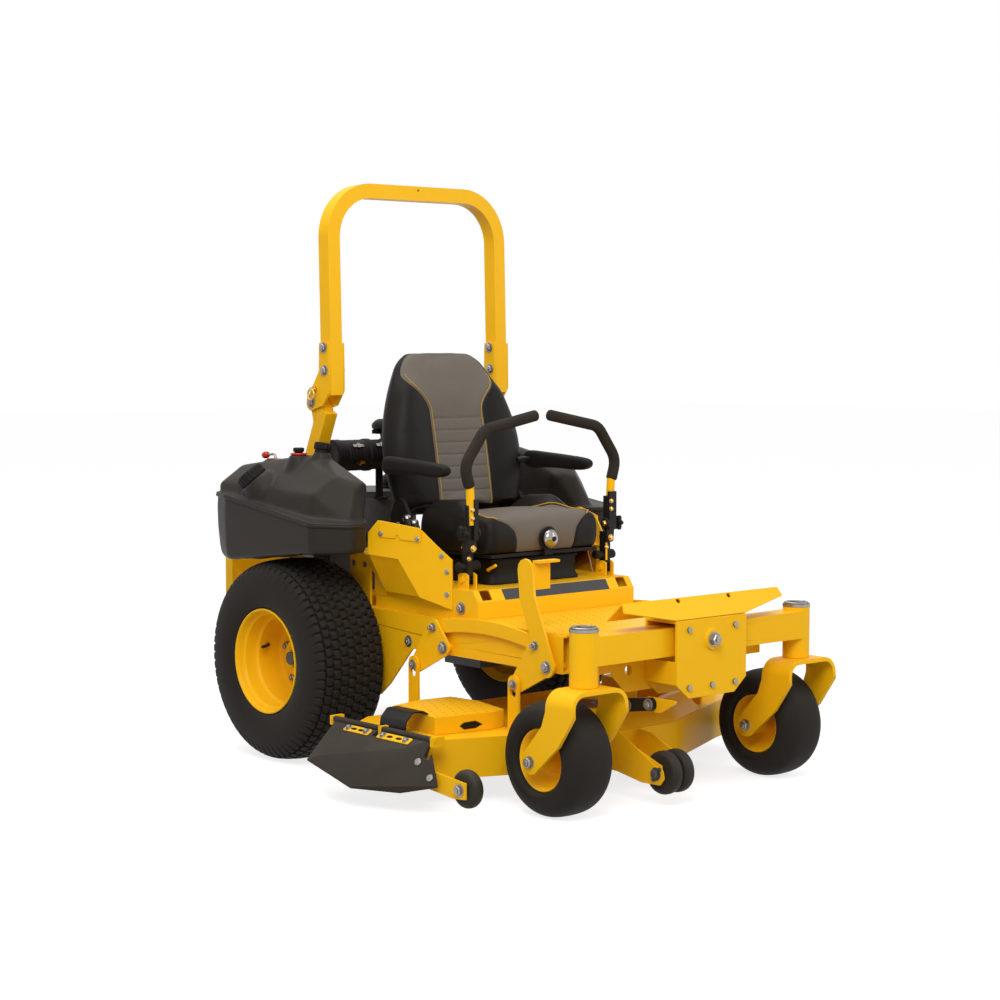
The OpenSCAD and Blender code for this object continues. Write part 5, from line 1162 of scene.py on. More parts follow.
def backHalf(t):
    half = seatBack["half"]
    wide = 0.88 + 0.12 * math.sin(math.pi / 2 * t / 0.36) if t < 0.36 else 1 - 0.44 * ((t - 0.36) / 0.64) ** 1.8
    top, low = max(0.0, (t - 0.90) / 0.10), max(0.0, (0.09 - t) / 0.09)
    topCut = 44 * (1 - math.sqrt(max(0.0, 1 - top * top)))
    lowCut = 40 * (1 - math.sqrt(max(0.0, 1 - low * low)))
    return half * wide - topCut - lowCut


def backSeam(t):
    spec = seatBack
    flare = smoothStep(spec["flareFrom"], spec["flareTo"], t) ** 1.35
    return spec["seam"] * (1 - flare) + (backHalf(t) * 0.93) * flare if t < spec["flareTo"] else backHalf(t) * 0.93


def addSeatBack():
    spec = seatBack
    sewn = [spec["sewnFrom"] + spec["sewnStep"] * k for k in range(spec["sewnLines"])]
    levels = [i / spec["rows"] for i in range(spec["rows"] + 1)]
    levels = [t for t in levels if all(abs(t - s) > 0.009 for s in sewn + [spec["flareTo"]])]
    for s in sewn:
        levels += [s - 0.007, s, s + 0.007]
    levels = sorted(levels + [0.004, 0.012, 0.985, 0.995])
    sideSteps = seamSteps(0.05, 0.91, spec["sideCols"] - 3)
    middleSteps = seamSteps(0.025, 0.95, spec["middleCols"] - 2)
    sideCount, middleCount = len(sideSteps), len(middleSteps)
    seamLeft, seamRight = sideCount - 1, sideCount + middleCount - 2
    frontCount = 2 * sideCount + middleCount - 2
    cols = frontCount + spec["rearCols"] - 1
    points, pinned = [], set()
    for t in levels:
        half, seam = backHalf(t), min(backSeam(t), backHalf(t) - 4)
        height = spec["low"] + (spec["length"] - spec["low"]) * t
        end = max(0.0, (t - 0.93) / 0.07, (0.05 - t) / 0.05)
        keep = math.sqrt(max(0.0, 1 - end * end)) * 0.98 + 0.02
        swell = math.sin(math.pi * (0.08 + 0.84 * t))
        thin = 1 - 0.50 * max(0.0, (t - 0.70) / 0.30) ** 2
        spots = [-half + (half - seam) * s for s in sideSteps] + [-seam + 2 * seam * s for s in middleSteps[1:]] \
            + [seam + (half - seam) * (1 - s) for s in reversed(sideSteps[:-1])]
        rear = spec["thick"] * (0.34 - 0.24 * t ** 3)
        for j, x in enumerate(spots):
            u = min(1.0, abs(x) / half)
            deep = thin * (spec["thick"] * (0.46 + 0.1 * swell)
                           + spec["bolster"] * u ** 2 * (1 - u ** 8) * swell * (1 - smoothStep(0.72, 0.9, t))
                           - 34 * u ** 9)
            points.append(Vector((x, -deep * keep, height)))
            if j in (seamLeft, seamRight) and t < 0.99:
                pinned.add(len(points) - 1)
            if j in (0, frontCount - 1):
                pinned.add(len(points) - 1)
            if seamLeft <= j <= seamRight and any(abs(t - s) < 0.001 for s in sewn):
                pinned.add(len(points) - 1)
        for k in range(1, spec["rearCols"]):
            angle = math.pi * k / spec["rearCols"]
            x = half * 0.985 * math.cos(angle)
            deep = rear * (0.30 + 0.70 * math.sin(angle) ** 0.7) * keep
            points.append(Vector((x, deep, height)))
            pinned.add(len(points) - 1)
    faces = gridFaces(len(levels), cols, True)
    faces.append(tuple(reversed(range(cols))))
    faces.append(tuple(range((len(levels) - 1) * cols, len(levels) * cols)))
    points = inflate("seatBack", points, faces, pinned, spec["pressure"], spec["cap"])
    # seams and sewn lines pulled in after the cloth
    for i, t in enumerate(levels):
        for j in range(frontCount):
            p = points[i * cols + j]
            if j in (seamLeft, seamRight):
                p.y += 4.0
            elif j in (seamLeft - 1, seamLeft + 1, seamRight - 1, seamRight + 1):
                p.y += 0.6
            elif seamLeft < j < seamRight and any(abs(t - s) < 0.001 for s in sewn):
                p.y += 2.6
    turn = Matrix.Translation(Vector(spec["hinge"])) @ Matrix.Rotation(math.radians(spec["lean"]), 4, "X")
    points = [turn @ p for p in points]
    piece = makePiece("seatBackCover", (points, faces), ["darkVinyl", "taupeVinyl"], "seat_back", 180.0,
                      0.0, 1)
    for polygon, loop in zip(piece.data.polygons, faces):
        if len(loop) == 4:
            j, i = loop[0] % cols, loop[0] // cols
            polygon.material_index = 1 if seamLeft <= j < seamRight and 0.02 < levels[i] < 0.994 else 0
    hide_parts("seat_back")
    shapes = []
    for j, inner in ((seamLeft, 1), (seamRight, -1)):
        path = []
        for i, t in enumerate(levels):
            if 0.03 < t < 0.86:
                here, beside = points[i * cols + j + inner], points[i * cols + j + 2 * inner]
                path.append((here.lerp(beside, 0.25), (turn.to_3x3() @ Vector((0, -1, 0)))))
        shapes.append(stitchShapes(path, spec["stitch"], 1.6, 1.5, 0.5))
    makePiece("backStitching", joinShapes(shapes), "yellowThread", "seat_back")
    # brackets of the armrests' bars and of the recline hinge
    bars = []
    for side in (-1, 1):
        bars.append(moveShape(turnShape([(0, 9), (76, 9), (77, 8)], 24, False),
                              aimX((side * 216, -236, 898), side)))
        outline = []
        for k in range(16):
            angle = 2 * math.pi * k / 16
            spot = Vector((-212, 715)) if math.sin(angle) < 0 else Vector((-192, 835))
            outline.append((spot[0] + 18 * math.cos(angle), spot[1] + 18 * math.sin(angle)))
        bars.append(plateShape(outline, "X", side * 205 - 3, side * 205 + 3))
    makePiece("backBrackets", joinShapes(bars), "blackCoat", "seat_back", 36.0, 0.8)


def addSeatCushion():
    spec = seatCushion
    loop = curveThrough([(0, y, z) for y, z in spec["profile"] + spec["profile"][:1]], 4)[:-1]
    rows = len(loop)
    sideSteps = seamSteps(0.04, 0.92, spec["sideCols"] - 3)
    middleSteps = seamSteps(0.02, 0.96, spec["middleCols"] - 2)
    sideCount, middleCount = len(sideSteps), len(middleSteps)
    seamLeft, seamRight = sideCount - 1, sideCount + middleCount - 2
    cols = 2 * sideCount + middleCount - 2
    heart = Vector((0, -445, 700))
    points, pinned = [], set()
    for j in range(cols):
        for p in loop:
            onTop = p.z > 756 or (p.y > -560 and p.z > 742)
            bottom = p.z < 652.5
            if onTop:
                seam = lineAt(spec["seamTop"], p.y)
            elif p.y < -450:
                seam = lineAt(spec["seamRows"], p.z)
            else:
                seam = 110
            half = spec["half"] * (1 - 0.035 * math.sin(math.pi * min(1.0, max(0.0, (p.y + 616) / 340))))
            if j < sideCount:
                x = -half + (half - seam) * sideSteps[j]
            elif j < sideCount + middleCount - 1:
                x = -seam + 2 * seam * middleSteps[j - sideCount + 1]
            else:
                x = seam + (half - seam) * (1 - sideSteps[cols - 1 - j])
            edge = max(0.0, (abs(x) - (half - 34)) / 34)
            inset = 30 * (1 - math.sqrt(max(0.0, 1 - min(edge, 1.0) ** 2)))
            away = (p - heart)
            away.x = 0
            spot = p - away.normalized() * inset
            spot.x = x
            # raised hips behind, slight hollow in the middle of the top
            rise = smoothStep(-530, -430, p.y) * (1 - 0.35 * smoothStep(-340, -280, p.y))
            if p.z > 700 and not bottom:
                lift = smoothStep(700, 745, p.z)
                spot.z += lift * (spec["hipRise"] * rise * math.exp(-((abs(x) - 178) / 42) ** 2)
                                  - 10 * rise * math.exp(-(x / 90) ** 2))
            if bottom:
                spot.z = 650.0
            points.append(spot)
            if j in (seamLeft, seamRight) or bottom or (p.y > -300 and p.z < 735) or j in (0, cols - 1):
                pinned.add(len(points) - 1)
    faces = []
    for j in range(cols - 1):
        for i in range(rows):
            k = (i + 1) % rows
            faces.append((j * rows + i, (j + 1) * rows + i, (j + 1) * rows + k, j * rows + k))
    # side walls close towards their middle
    for j, flip in ((0, False), (cols - 1, True)):
        last = [j * rows + i for i in range(rows)]
        for scale, out in ((0.82, 3.0), (0.5, 5.0)):
            ring = []
            for i in range(rows):
                p = points[j * rows + i]
                q = heart + (p - heart) * scale
                q.z = max(q.z, 650.5)
                q.x = p.x + (out if j else -out)
                points.append(q)
                ring.append(len(points) - 1)
            for i in range(rows):
                k = (i + 1) % rows
                quad = (last[i], last[k], ring[k], ring[i])
                faces.append(tuple(reversed(quad)) if flip else quad)
            last = ring
        points.append(sum((points[i] for i in last), Vector()) / rows)
        for i in range(rows):
            tri = (last[i], last[(i + 1) % rows], len(points) - 1)
            faces.append(tuple(reversed(tri)) if flip else tri)
    points = inflate("seatCushion", points, faces, pinned, spec["pressure"], spec["cap"])
    for j in (seamLeft, seamRight):
        for i, p in enumerate(loop):
            if p.z > 653:
                pull = (heart - points[j * rows + i])
                pull.x = 0
                points[j * rows + i] += pull.normalized() * 4.0
    piece = makePiece("seatCushionCover", (points, faces), ["darkVinyl", "taupeVinyl"], "seat", 180.0,
                      0.0, 1)
    for polygon, quad in zip(piece.data.polygons, faces):
        j = quad[0] // rows
        if len(quad) == 4 and j < cols and seamLeft <= j < seamRight:
            polygon.material_index = 1
    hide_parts("seat_cushion")
    shapes = []
    for j, outer in ((seamLeft, -1), (seamRight, 1)):
        path = []
        for i, p in enumerate(loop):
            if p.z > 735 and -600 < p.y < -290:
                here = points[j * rows + i]
                beside = points[(j + outer) * rows + i]
                path.append((here.lerp(beside, 0.8) + Vector((0, 0, 0.6)), Vector((0, -0.25, 1)).normalized()))
        shapes.append(tubeShape([p + n * 1.2 for p, n in path], 2.0, 8, 1.5))
    makePiece("cushionPiping", joinShapes(shapes), "yellowThread", "seat")


addSeatBack()
addSeatCushion()
print("seat covers sewn")

# steering levers, drawn for the left side and mirrored
leverForm = {
    "x": 276.0, "armY": -578.0, "handleY": -596.3, "pivotZ": 580.0, "swingZ": 672.0, "tube": 12.5, "grip": 16.8,
    "bend": 62.0, "gripPath": [(283, 846), (303, 911), (227, 1014), (22, 1053)],
}


def starKnob(lobes, radius, thick):
    rings = []
    for along, size in ((0, 0.82), (1.5, 0.96), (thick * 0.3, 1.0), (thick * 0.75, 1.0), (thick * 0.93, 0.92),
                        (thick, 0.78)):
        rings.append(lobeRing(along, lobes * 12, lambda a: radius * size * (0.86 + 0.14 * math.cos(lobes * a))))
    knob = loftShape(rings)
    boss = turnShape([(thick - 1, radius * 0.42), (thick + 3, radius * 0.40), (thick + 4, radius * 0.32)], 24,
                     False)
    stem = turnShape([(-9, radius * 0.36), (1, radius * 0.36)], 24, False)
    return joinShapes([knob, boss, stem])


def addLevers():
    form = leverForm
    x, armY, handleY = form["x"], form["armY"], form["handleY"]
    for side, name in ((1, "Left"), (-1, "Right")):
        lever, handle = "lever_" + name.lower(), "handle_" + name.lower()
        path = [Vector((px, handleY, pz)) for px, pz in form["gripPath"]]
        grip = tubeShape(filletPath(path, form["bend"], 12), form["grip"], 28, 9.0)
        gripPiece = makePiece("grip" + name, onSide(grip, side), "gripFoam", handle, 60.0)
        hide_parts("lever_grip_" + name.lower())
        # painted tube between grip and bracket, seen beside the narrower front plate of the right lever
        hand = -side
        front = x + (3 if side < 0 else 17)
        stem = tubeShape([(x + 2, handleY, 740), (x + 3.5, handleY, 790), (x + 7, handleY, 852),
                          (x + 9, handleY, 860)], form["tube"], 24)
        stemPiece = makePiece("leverTube" + name, onSide(stem, side), "yellowCoat", handle,
                              36.0, 0.5)
        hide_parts("lever_handle_" + name.lower())
        cheek = roundFlat([(x - 14, 658), (x + 14, 658), (x + 17, 700), (x + 17, 802), (x - 13, 802),
                           (x - 15, 700)], 9, 4)
        bracket = [plateShape(cheek, "Y", handleY - 6, handleY + 6),
                   roundBox((x - 14, handleY - 16, 697), (front, handleY - 5.5, 814), 2.5),
                   moveShape(turnShape([(0, 17), (5, 17), (7, 15)], 32, False),
                             aim((x - 14.5, handleY - 2, 716), (-1, 0, 0))),
                   roundBox((x - 15, handleY - 10, 697), (x - 9, handleY + 12, 800), 2),
                   roundBox((x + 9, handleY + 1, 697), (x + 17, handleY + 12, 800), 2)]
        makePiece("leverBracket" + name, onSide(joinShapes(bracket), side), "blackCoat", handle,
                  36.0, 1.2)
        rest = handleY - (12 if side < 0 else 16)
        bolts = [moveShape(boltShape(5.5, 4.5, 7.0), aim((x + hand * 8, rest, z), (0, -1, 0))) for z in (761, 785)]
        bolts.append(moveShape(boltShape(7.0, 4, 9.5), aim((x - 21.5, handleY - 2, 716), (-1, 0, 0))))
        makePiece("leverBolts" + name, onSide(joinShapes(bolts), side), "goldSteel", handle, 30.0)
        knob = moveShape(starKnob(6, 25, 15), aim((x + 26, handleY, 716), (1, 0, 0)))
        makePiece("leverKnob" + name, onSide(knob, side), "blackPlastic", handle, 40.0)
        # lower arm: folded channel with pivot bolts and damper foot; the left one has a painted strip
        web = [roundBox((x - 12.5, armY - 12, 566), (x - 8, armY + 12, 690), 2),
               roundBox((x + 8, armY - 12, 566), (x + 12.5, armY + 12, 690), 2),
               roundBox((x - 12.5, armY - 12, 590), (x + 12.5, armY - 7.5, 690), 2),
               moveShape(turnShape([(-8.2, 10), (8.2, 10)], 24, False), aimX((x, armY, form["pivotZ"])))]
        armPiece = makePiece("leverArm" + name, onSide(joinShapes(web), side), "blackCoat", lever,
                             36.0, 0.8)
        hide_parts("lever_arm_" + name.lower())
        if side > 0:
            strip = roundBox((x - 9, armY - 14, 602), (x - 2, armY - 11, 655), 1.5)
            makePiece("leverStrip" + name, onSide(strip, side), "yellowCoat", lever, 36.0, 0.4)
        swing = [moveShape(boltShape(7.5, 6, 10, 0), aim((x, handleY - 6.3, form["swingZ"]), (0, -1, 0))),
                 moveShape(boltShape(8.5, 6.5, 11), aim((x, armY + 12, form["swingZ"]), (0, 1, 0))),
                 moveShape(boltShape(5.5, 4.5, 7.0), aim((x + hand * 6, armY - 12, 642), (0, -1, 0)))]
        makePiece("armBolts" + name, onSide(joinShapes(swing), side), "goldSteel", lever, 30.0)
        foot = tubeShape([(x - 46, armY + 2, 622), (x - 20, armY + 2, 617), (x + 20, armY + 2, 617),
                          (x + 40, armY + 2, 620)], lambda w: 12.5 + 2.5 * math.cos(2 * math.pi * w), 20, 8.0)
        makePiece("leverFoot" + name, onSide(foot, side), "blackPlastic", lever, 50.0)


addLevers()
print("levers built")

# armrests, knob and hinge covers of the seat
seatTrim = {"knob": (0.0, -619.6, 686.9), "dampers": [(-252, -318, 700), (-252, -284, 712)],
            "damperLean": (0, 0.55, 0.83)}


def addArmrests():
    for name in ("left", "right"):
        low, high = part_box("armrest_" + name)
        middle = (low[0] + high[0]) / 2 / mm
        half = (high[0] - low[0]) / 2 / mm
        rings = []
        rows = [(-502, 893, 0.5, 3), (-499, 893, 0.72, 10), (-490, 892.5, 0.88, 15.5), (-472, 892, 0.97, 19.5),
                (-445, 892.5, 1.0, 21.5), (-410, 894, 1.0, 22), (-370, 896.5, 1.0, 22.5), (-330, 897.5, 0.97, 23.5),
                (-290, 897.5, 0.94, 25.5), (-250, 897.5, 0.92, 28), (-225, 897.5, 0.90, 28.5), (-208, 898, 0.80, 25),
                (-200, 898, 0.55, 16), (-198, 898, 0.3, 6)]
        for y, z, wide, tall in rows:
            ring = []
            for j in range(28):
                a = 2 * math.pi * j / 28
                c, s = math.cos(a), math.sin(a)
                ring.append(Vector((middle + half * wide * math.copysign(abs(c) ** 0.62, c), y,
                                    z + tall * math.copysign(abs(s) ** 0.72, s))))
            rings.append(ring)
        pad = makePiece("armrest" + name.capitalize(), loftShape(rings), "armFoam", "armrest_" + name,
                        180.0, 0.0, 1)
        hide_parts("armrest_" + name)


def addSeatTrim():
    spot = aim(seatTrim["knob"], (0, -1, 0))
    dome = turnShape([(6.4, 22), (6.6, 26.5), (9, 27.6), (14, 27.4), (19, 25.5), (23, 22.4), (26, 18), (28, 12.5),
                      (28.6, 11.6), (28.2, 10.8), (29.4, 7), (30.4, 2.5)], 56, False)
    knob = makePiece("seatKnob", moveShape(dome, spot), "brightChrome", "seat_knob", 40.0)
    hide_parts("seat_knob")
    ticks = []
    for i in range(24):
        turn = Matrix.Rotation(2 * math.pi * i / 24, 4, "Z")
        ticks.append(moveShape(roundBox((-1.1, 26.4, 8), (1.1, 28.4, 17), 0.8, 2), spot @ turn))
    makePiece("knobRibs", joinShapes(ticks), "brightChrome", "seat_knob", 36.0)
    button = turnShape([(28.0, 6.4), (31.2, 6.2), (31.8, 5.2), (31.4, 4.0), (31.4, 1.0)], 32, False)
    makePiece("knobButton", moveShape(button, spot), "blackPlastic", "seat_knob", 40.0)
    ring = turnShape([(0, 34.5), (3, 36.5), (5.6, 35.5), (6.2, 33), (6.2, 29), (2, 27)], 48)
    makePiece("knobRing", moveShape(ring, spot), "blackPlastic", "seat", 40.0)
    cover = roundFlat([(-330, 655), (-176, 655), (-168, 745), (-196, 800), (-232, 796), (-282, 722)], 22, 5)
    shell = plateShape(cover, "X", 229, 243)
    screw = moveShape(screwShape(9), aimX((243, -212, 715)))
    for side, name in ((1, "Left"), (-1, "Right")):
        makePiece("hingeCover" + name, onSide(shell, side), "blackPlastic", "seat", 36.0, 4.0)
        makePiece("hingeScrew" + name, onSide(screw, side), "zincSteel", "seat", 36.0)
    # two dampers on the near side, with their collars and plate
    dampers, collars = [], []
    lean = Vector(seatTrim["damperLean"]).normalized()
    for start in (Vector(p) for p in seatTrim["dampers"]):
        dampers.append(tubeShape([start - lean * 62, start - lean * 20, start + lean * 20, start + lean * 44],
                                 lambda w: 11 + 1.6 * math.cos(w * 34 * math.pi) if w < 0.78 else 8.0, 20, 3.0))
        collars.append(moveShape(turnShape([(0, 13), (3, 13.6), (7, 13.6), (10, 13)], 28, False),
                                 aim(start + lean * 26, lean)))
    makePiece("seatDampers", joinShapes(dampers), "flapRubber", "seat", 50.0)
    makePiece("damperCollars", joinShapes(collars), "brightChrome", "seat", 36.0)
    strap = roundBox((-246, -350, 640), (-238, -262, 676), 6)
    makePiece("damperPlate", strap, "blackCoat", "seat", 36.0, 1.0)
    # smooth boot round the bellows, with the slide's yellow handle
    rings = []
    for z, grow in ((555.5, 9), (561, 10), (570, 5), (584, 2.5), (604, 2), (618, 4), (626, 3)):
        x, front, rear = 172 + grow, -566 - grow, -240 + grow
        corners = [Vector(p) for p in ((-x, front, z), (x, front, z), (x, rear, z), (-x, rear, z))]
        rings.append(roundOutline(corners, 34.0, 8))
    makePiece("seatBoot", loftShape(rings), "blackPlastic", "chassis", 60.0)
    handle = tubeShape(filletPath([(-160, -540, 592), (-180, -556, 600), (-186, -600, 617)], 12), 4.6, 16, 1.5)
    makePiece("slideHandle", handle, "yellowCoat", "chassis", 40.0)


addArmrests()
addSeatTrim()
print("armrests and seat trim built")

# bolt heads over the plain ends of the solids' bolts, drawn for the left side:
# place, way, head radius, head height, washer, stud
boltRows = {
    "chassis": [((313.0, -594.0, 500.0), "X", 11.8, 10.0, 18.0, 5.0),
                ((331.0, -372.0, 383.0), "X", 11.8, 6.0, 17.0, 5.0)],
    "front_lift": [((357.0, -1007.0, 380.0), "X", 14.8, 8.0, 18.5, 3.0),
                   ((357.0, -961.0, 434.5), "X", 10.8, 8.0, 14.0, 9.0),
                   ((371.0, -885.0, 319.0), "X", 9.0, 7.0, 14.5, 4.0)],
    "rear_lift": [((357.0, -563.0, 386.0), "X", 14.8, 8.0, 18.5, 3.0),
                  ((357.0, -517.0, 440.5), "X", 10.8, 8.0, 14.0, 9.0),
                  ((371.0, -441.0, 325.0), "X", 9.0, 7.0, 14.5, 4.0)],
    "deck": [((678.0, -1020.0, 86.0), "X", 13.8, 9.0, 18.0, 4.0)],
    "rollover_hoop": [((x, y, z), way, 12.8, 7.5, 17.0, 3.0)
                      for y, z in ((0.0, 1252.0), (-4.0, 1182.0), (65.0, 1083.0))
                      for x, way in ((364.5, "X"), (303.5, "-X"))],
}
forkBolts = [((523.5, -1127.0, 157.5), "X", 14.8, 12.5, 17.0, 3.0),
             ((319.5, -1127.0, 157.5), "-X", 14.8, 12.5, 17.0, 3.0)]
housingBolt = ((0.0, -1297.0, 456.3), "-Y", 16.8, 15.0, 21.0, 4.0)
wayTurn = {"X": ((0, 0, 1), (0, -1, 0), (1, 0, 0)), "-X": ((0, 0, -1), (0, 1, 0), (1, 0, 0)),
           "-Y": ((1, 0, 0), (0, 0, -1), (0, 1, 0))}


def boltAt(row):
    place, way, radius, height, washer, stud = row
    return moveShape(boltShape(radius, height, washer, stud),
                     Matrix.Translation(Vector(place)) @ Matrix(wayTurn[way]).to_4x4())


def slabShape(corners, lift):
    # flat plate between an outline and its copy moved by lift
    corners = [Vector(c) for c in corners]
    points, faces = loftShape([corners, [c + Vector(lift) for c in corners]], False, False)
    count = len(corners)
    return points, faces + [tuple(reversed(range(count))), tuple(range(count, 2 * count))]


for body, rows in boltRows.items():
    heads = [boltAt(row) for row in rows]
    heads += [mirrorShape(head) for head in heads]
    if body == "chassis":
        heads.append(boltAt(housingBolt))
    makePiece("boltHeads." + body, joinShapes(heads), "zincSteel", body, 30.0)
forkHeads = joinShapes([boltAt(row) for row in forkBolts])
makePiece("axleBoltsLeft", forkHeads, "zincSteel", "caster_fork_left", 30.0)
makePiece("axleBoltsRight", mirrorShape(forkHeads), "zincSteel", "caster_fork_right", 30.0)
print("bolt heads placed")

# side panels: a bolted tab along the upper edge and the bolts of the front flange, on the panel's own plane
fender = {
    "start": (313.0, -556.0), "turn": math.atan2(290.0, 112.0), "thick": 4.0,
    "tab": [(249, 745), (103, 726), (103, 684), (176, 690), (181, 704), (188, 704), (192, 692), (247, 695)],
    "bolts": [(240, 705), (116, 694), (36, 648), (18, 602), (18, 536)], "boltRadius": 5.5,
    "fold": [(284, 640), (184, 634), (111, 525)], "foldEnds": [(331, -262, 522), (331, -172, 602)],
}


def onFender(along, height, proud):
    turn = fender["turn"]
    out = fender["thick"] + proud
    return Vector((fender["start"][0] + along * math.cos(turn) + out * math.sin(turn),
                   fender["start"][1] + along * math.sin(turn) - out * math.cos(turn), height))


def addFenderTrim():
    face = onFender(0, 0, 1.0) - onFender(0, 0, 0.0)
    tab = slabShape([onFender(a, z, 0.2) for a, z in roundFlat(fender["tab"], 7.0, 4)], face * 3.2)
    bolts = joinShapes([moveShape(boltShape(fender["boltRadius"], 4.0, 8.0, 2.0),
                                  aim(onFender(a, z, 3.2 if a > 100 else 0.1), face))
                        for a, z in fender["bolts"]])
    # sheet folded back from the panel's lower edge to the frame
    edge = [onFender(a, z, -4.3) for a, z in fender["fold"]]
    low, high = (Vector(p) for p in fender["foldEnds"])
    fold = joinShapes([hullShape(corners + [p + Vector((-2, 2, 2)) for p in corners])
                       for corners in ([edge[0], edge[1], low, high], [edge[1], edge[2], low])])
    for side, name in ((1, "Left"), (-1, "Right")):
        makePiece("fenderTab" + name, onSide(tab, side), "yellowCoat", "chassis", 30.0, 1.0)
        makePiece("fenderBolts" + name, onSide(bolts, side), "zincSteel", "chassis", 30.0)
        makePiece("fenderFold" + name, onSide(fold, side), "yellowCoat", "chassis", 30.0)


addFenderTrim()
print("side panels trimmed")

# air cleaner: ribbed canister with clip-on cover, bellows hose, raised inlet and two carrying brackets
cleaner = {
    "axis": (100.0, 912.0), "radius": 47.5,
    "bands": [(-265, -236, 51.5), (-140, -120, 51.5), (60, 76, 51.5)], "ribs": [-222 + 13 * i for i in range(6)],
    "hose": [(96, 100, 912), (150, 100, 912), (90, 250, 819), (90, 250, 786)], "hoseRadius": 29.0, "hoseRibs": 26,
    "inlet": (-10.0, 130.0), "brackets": [-53.0, 53.0], "clips": [(-188, -38), (-188, 24), (-96, -38)],
}


def addCleaner():
    spec = cleaner
    centre = Vector((0, spec["axis"][0], spec["axis"][1]))
    profile = [(-262, 20), (-265, 34), (-266, 43)]
    x = -264.0
    while x <= 96:
        r = spec["radius"] - 0.05 * max(0.0, x - 76)
        for low, high, size in spec["bands"]:
            edge = min(smoothStep(low - 2, low + 2, x), 1 - smoothStep(high - 2, high + 2, x))
            r += (size - spec["radius"]) * edge
        r += sum(1.8 * math.exp(-((x - rib) / 2.4) ** 2) for rib in spec["ribs"])
        profile.append((x, r))
        x += 2.0
    profile += [(97, 41), (98, 31)]
    shapes = [moveShape(turnShape(profile, 64, False), aimX(centre))]
    path = filletPath(spec["hose"], 42, 14)
    fine = [path[i].lerp(path[i + 1], k / 4) for i in range(len(path) - 1) for k in range(4)] + [path[-1]]
    shapes.append(tubeShape(fine, lambda t: spec["hoseRadius"]
                            + 4.5 * max(0.0, math.cos(2 * math.pi * t * spec["hoseRibs"])) ** 2, 28))
    inlet = [(900, 26), (962, 28), (978, 31), (984, 40), (992, 55), (1000, 57), (1008, 55), (1017, 46), (1022, 36),
             (1023, 20)]
    shapes.append(moveShape(turnShape(inlet, 40, False),
                            Matrix.Translation((spec["inlet"][0], spec["inlet"][1], 0))))
    for i in range(12):
        angle = 2 * math.pi * i / 12
        fin = Vector((spec["inlet"][0] + 44 * math.cos(angle), spec["inlet"][1] + 44 * math.sin(angle), 984))
        shapes.append(moveShape(roundBox((-12, -1.5, -9), (12, 1.5, 4), 1.0, 1),
                                Matrix.Translation(fin) @ Matrix.Rotation(angle, 4, "Z")))
    for x in spec["brackets"]:
        shapes.append(roundBox((x - 13, 124, 766), (x + 13, 132, 892), 2.5, 2))
        shapes.append(roundBox((x - 13, 96, 766), (x + 13, 142, 773), 2.5, 2))
        band = [centre + Vector((x, 51.0 * math.cos(a), 51.0 * math.sin(a)))
                for a in [math.pi * (k / 24 - 0.5) * 2 for k in range(25)]]
        shapes.append(tubeShape(band, 3.4, 8, 0.0, Vector((1, 0, 0))))
    body = makePiece("airCleaner", joinShapes(shapes), "blackPlastic", "chassis", 34.0)
    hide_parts("air_cleaner")
    clips = []
    for x, lean in spec["clips"]:
        turn = Matrix.Rotation(math.radians(lean), 4, "X")
        turn = Matrix.Translation(centre) @ turn @ Matrix.Translation((x, -50.5, 0))
        clips.append(moveShape(roundBox((-21, -3.2, -5), (21, 1.5, 5), 1.6, 2), turn))
        clips.append(moveShape(roundBox((-6, -5.4, -8), (6, 0, 8), 1.4, 2), turn))
    for spot, way in ((spec["hose"][1], (1, 0, 0)), (spec["hose"][3], (0, 0, 1))):
        clips.append(moveShape(turnShape([(-5, 31.5), (-5, 34.4), (5, 34.4), (5, 31.5)], 36),
                               aim(Vector(spot) - Vector(way) * 8, way)))
    makePiece("cleanerClips", joinShapes(clips), "brightChrome", "chassis", 34.0)


addCleaner()
print("air cleaner built")

# front end: bearing cap tops, skirt corners, bare console band, stay link under the housing
frontTrim = {
    "capCentre": (421.5, -1226.0, 518.3), "skirt": [(-330, 374), (-262, 374), (-262, 411), (-330, 411)],
    "skirtFront": -1169.0, "band": [(-206, 0.06), (212, 0.06), (212, 0.94), (-206, 0.94)],
    "chamfer": ((-667.0, 521.3), (-645.0, 554.3)),
    "stayX": -150.0, "stay": [(-1202, 281), (-1120, 268)], "stayHalf": 19.0,
    "stayMounts": [[(-1290, 299), (-1178, 299), (-1178, 258), (-1232, 258), (-1290, 290)],
                   [(-1138, 412), (-1102, 412), (-1102, 250), (-1138, 250)]],
    "leaf": [(-306, -1251, 570.5), (306, -1251, 570.5), (312, -1200, 521), (-312, -1200, 521)],
    "leafThick": (0, 2.6, 2.9),
}


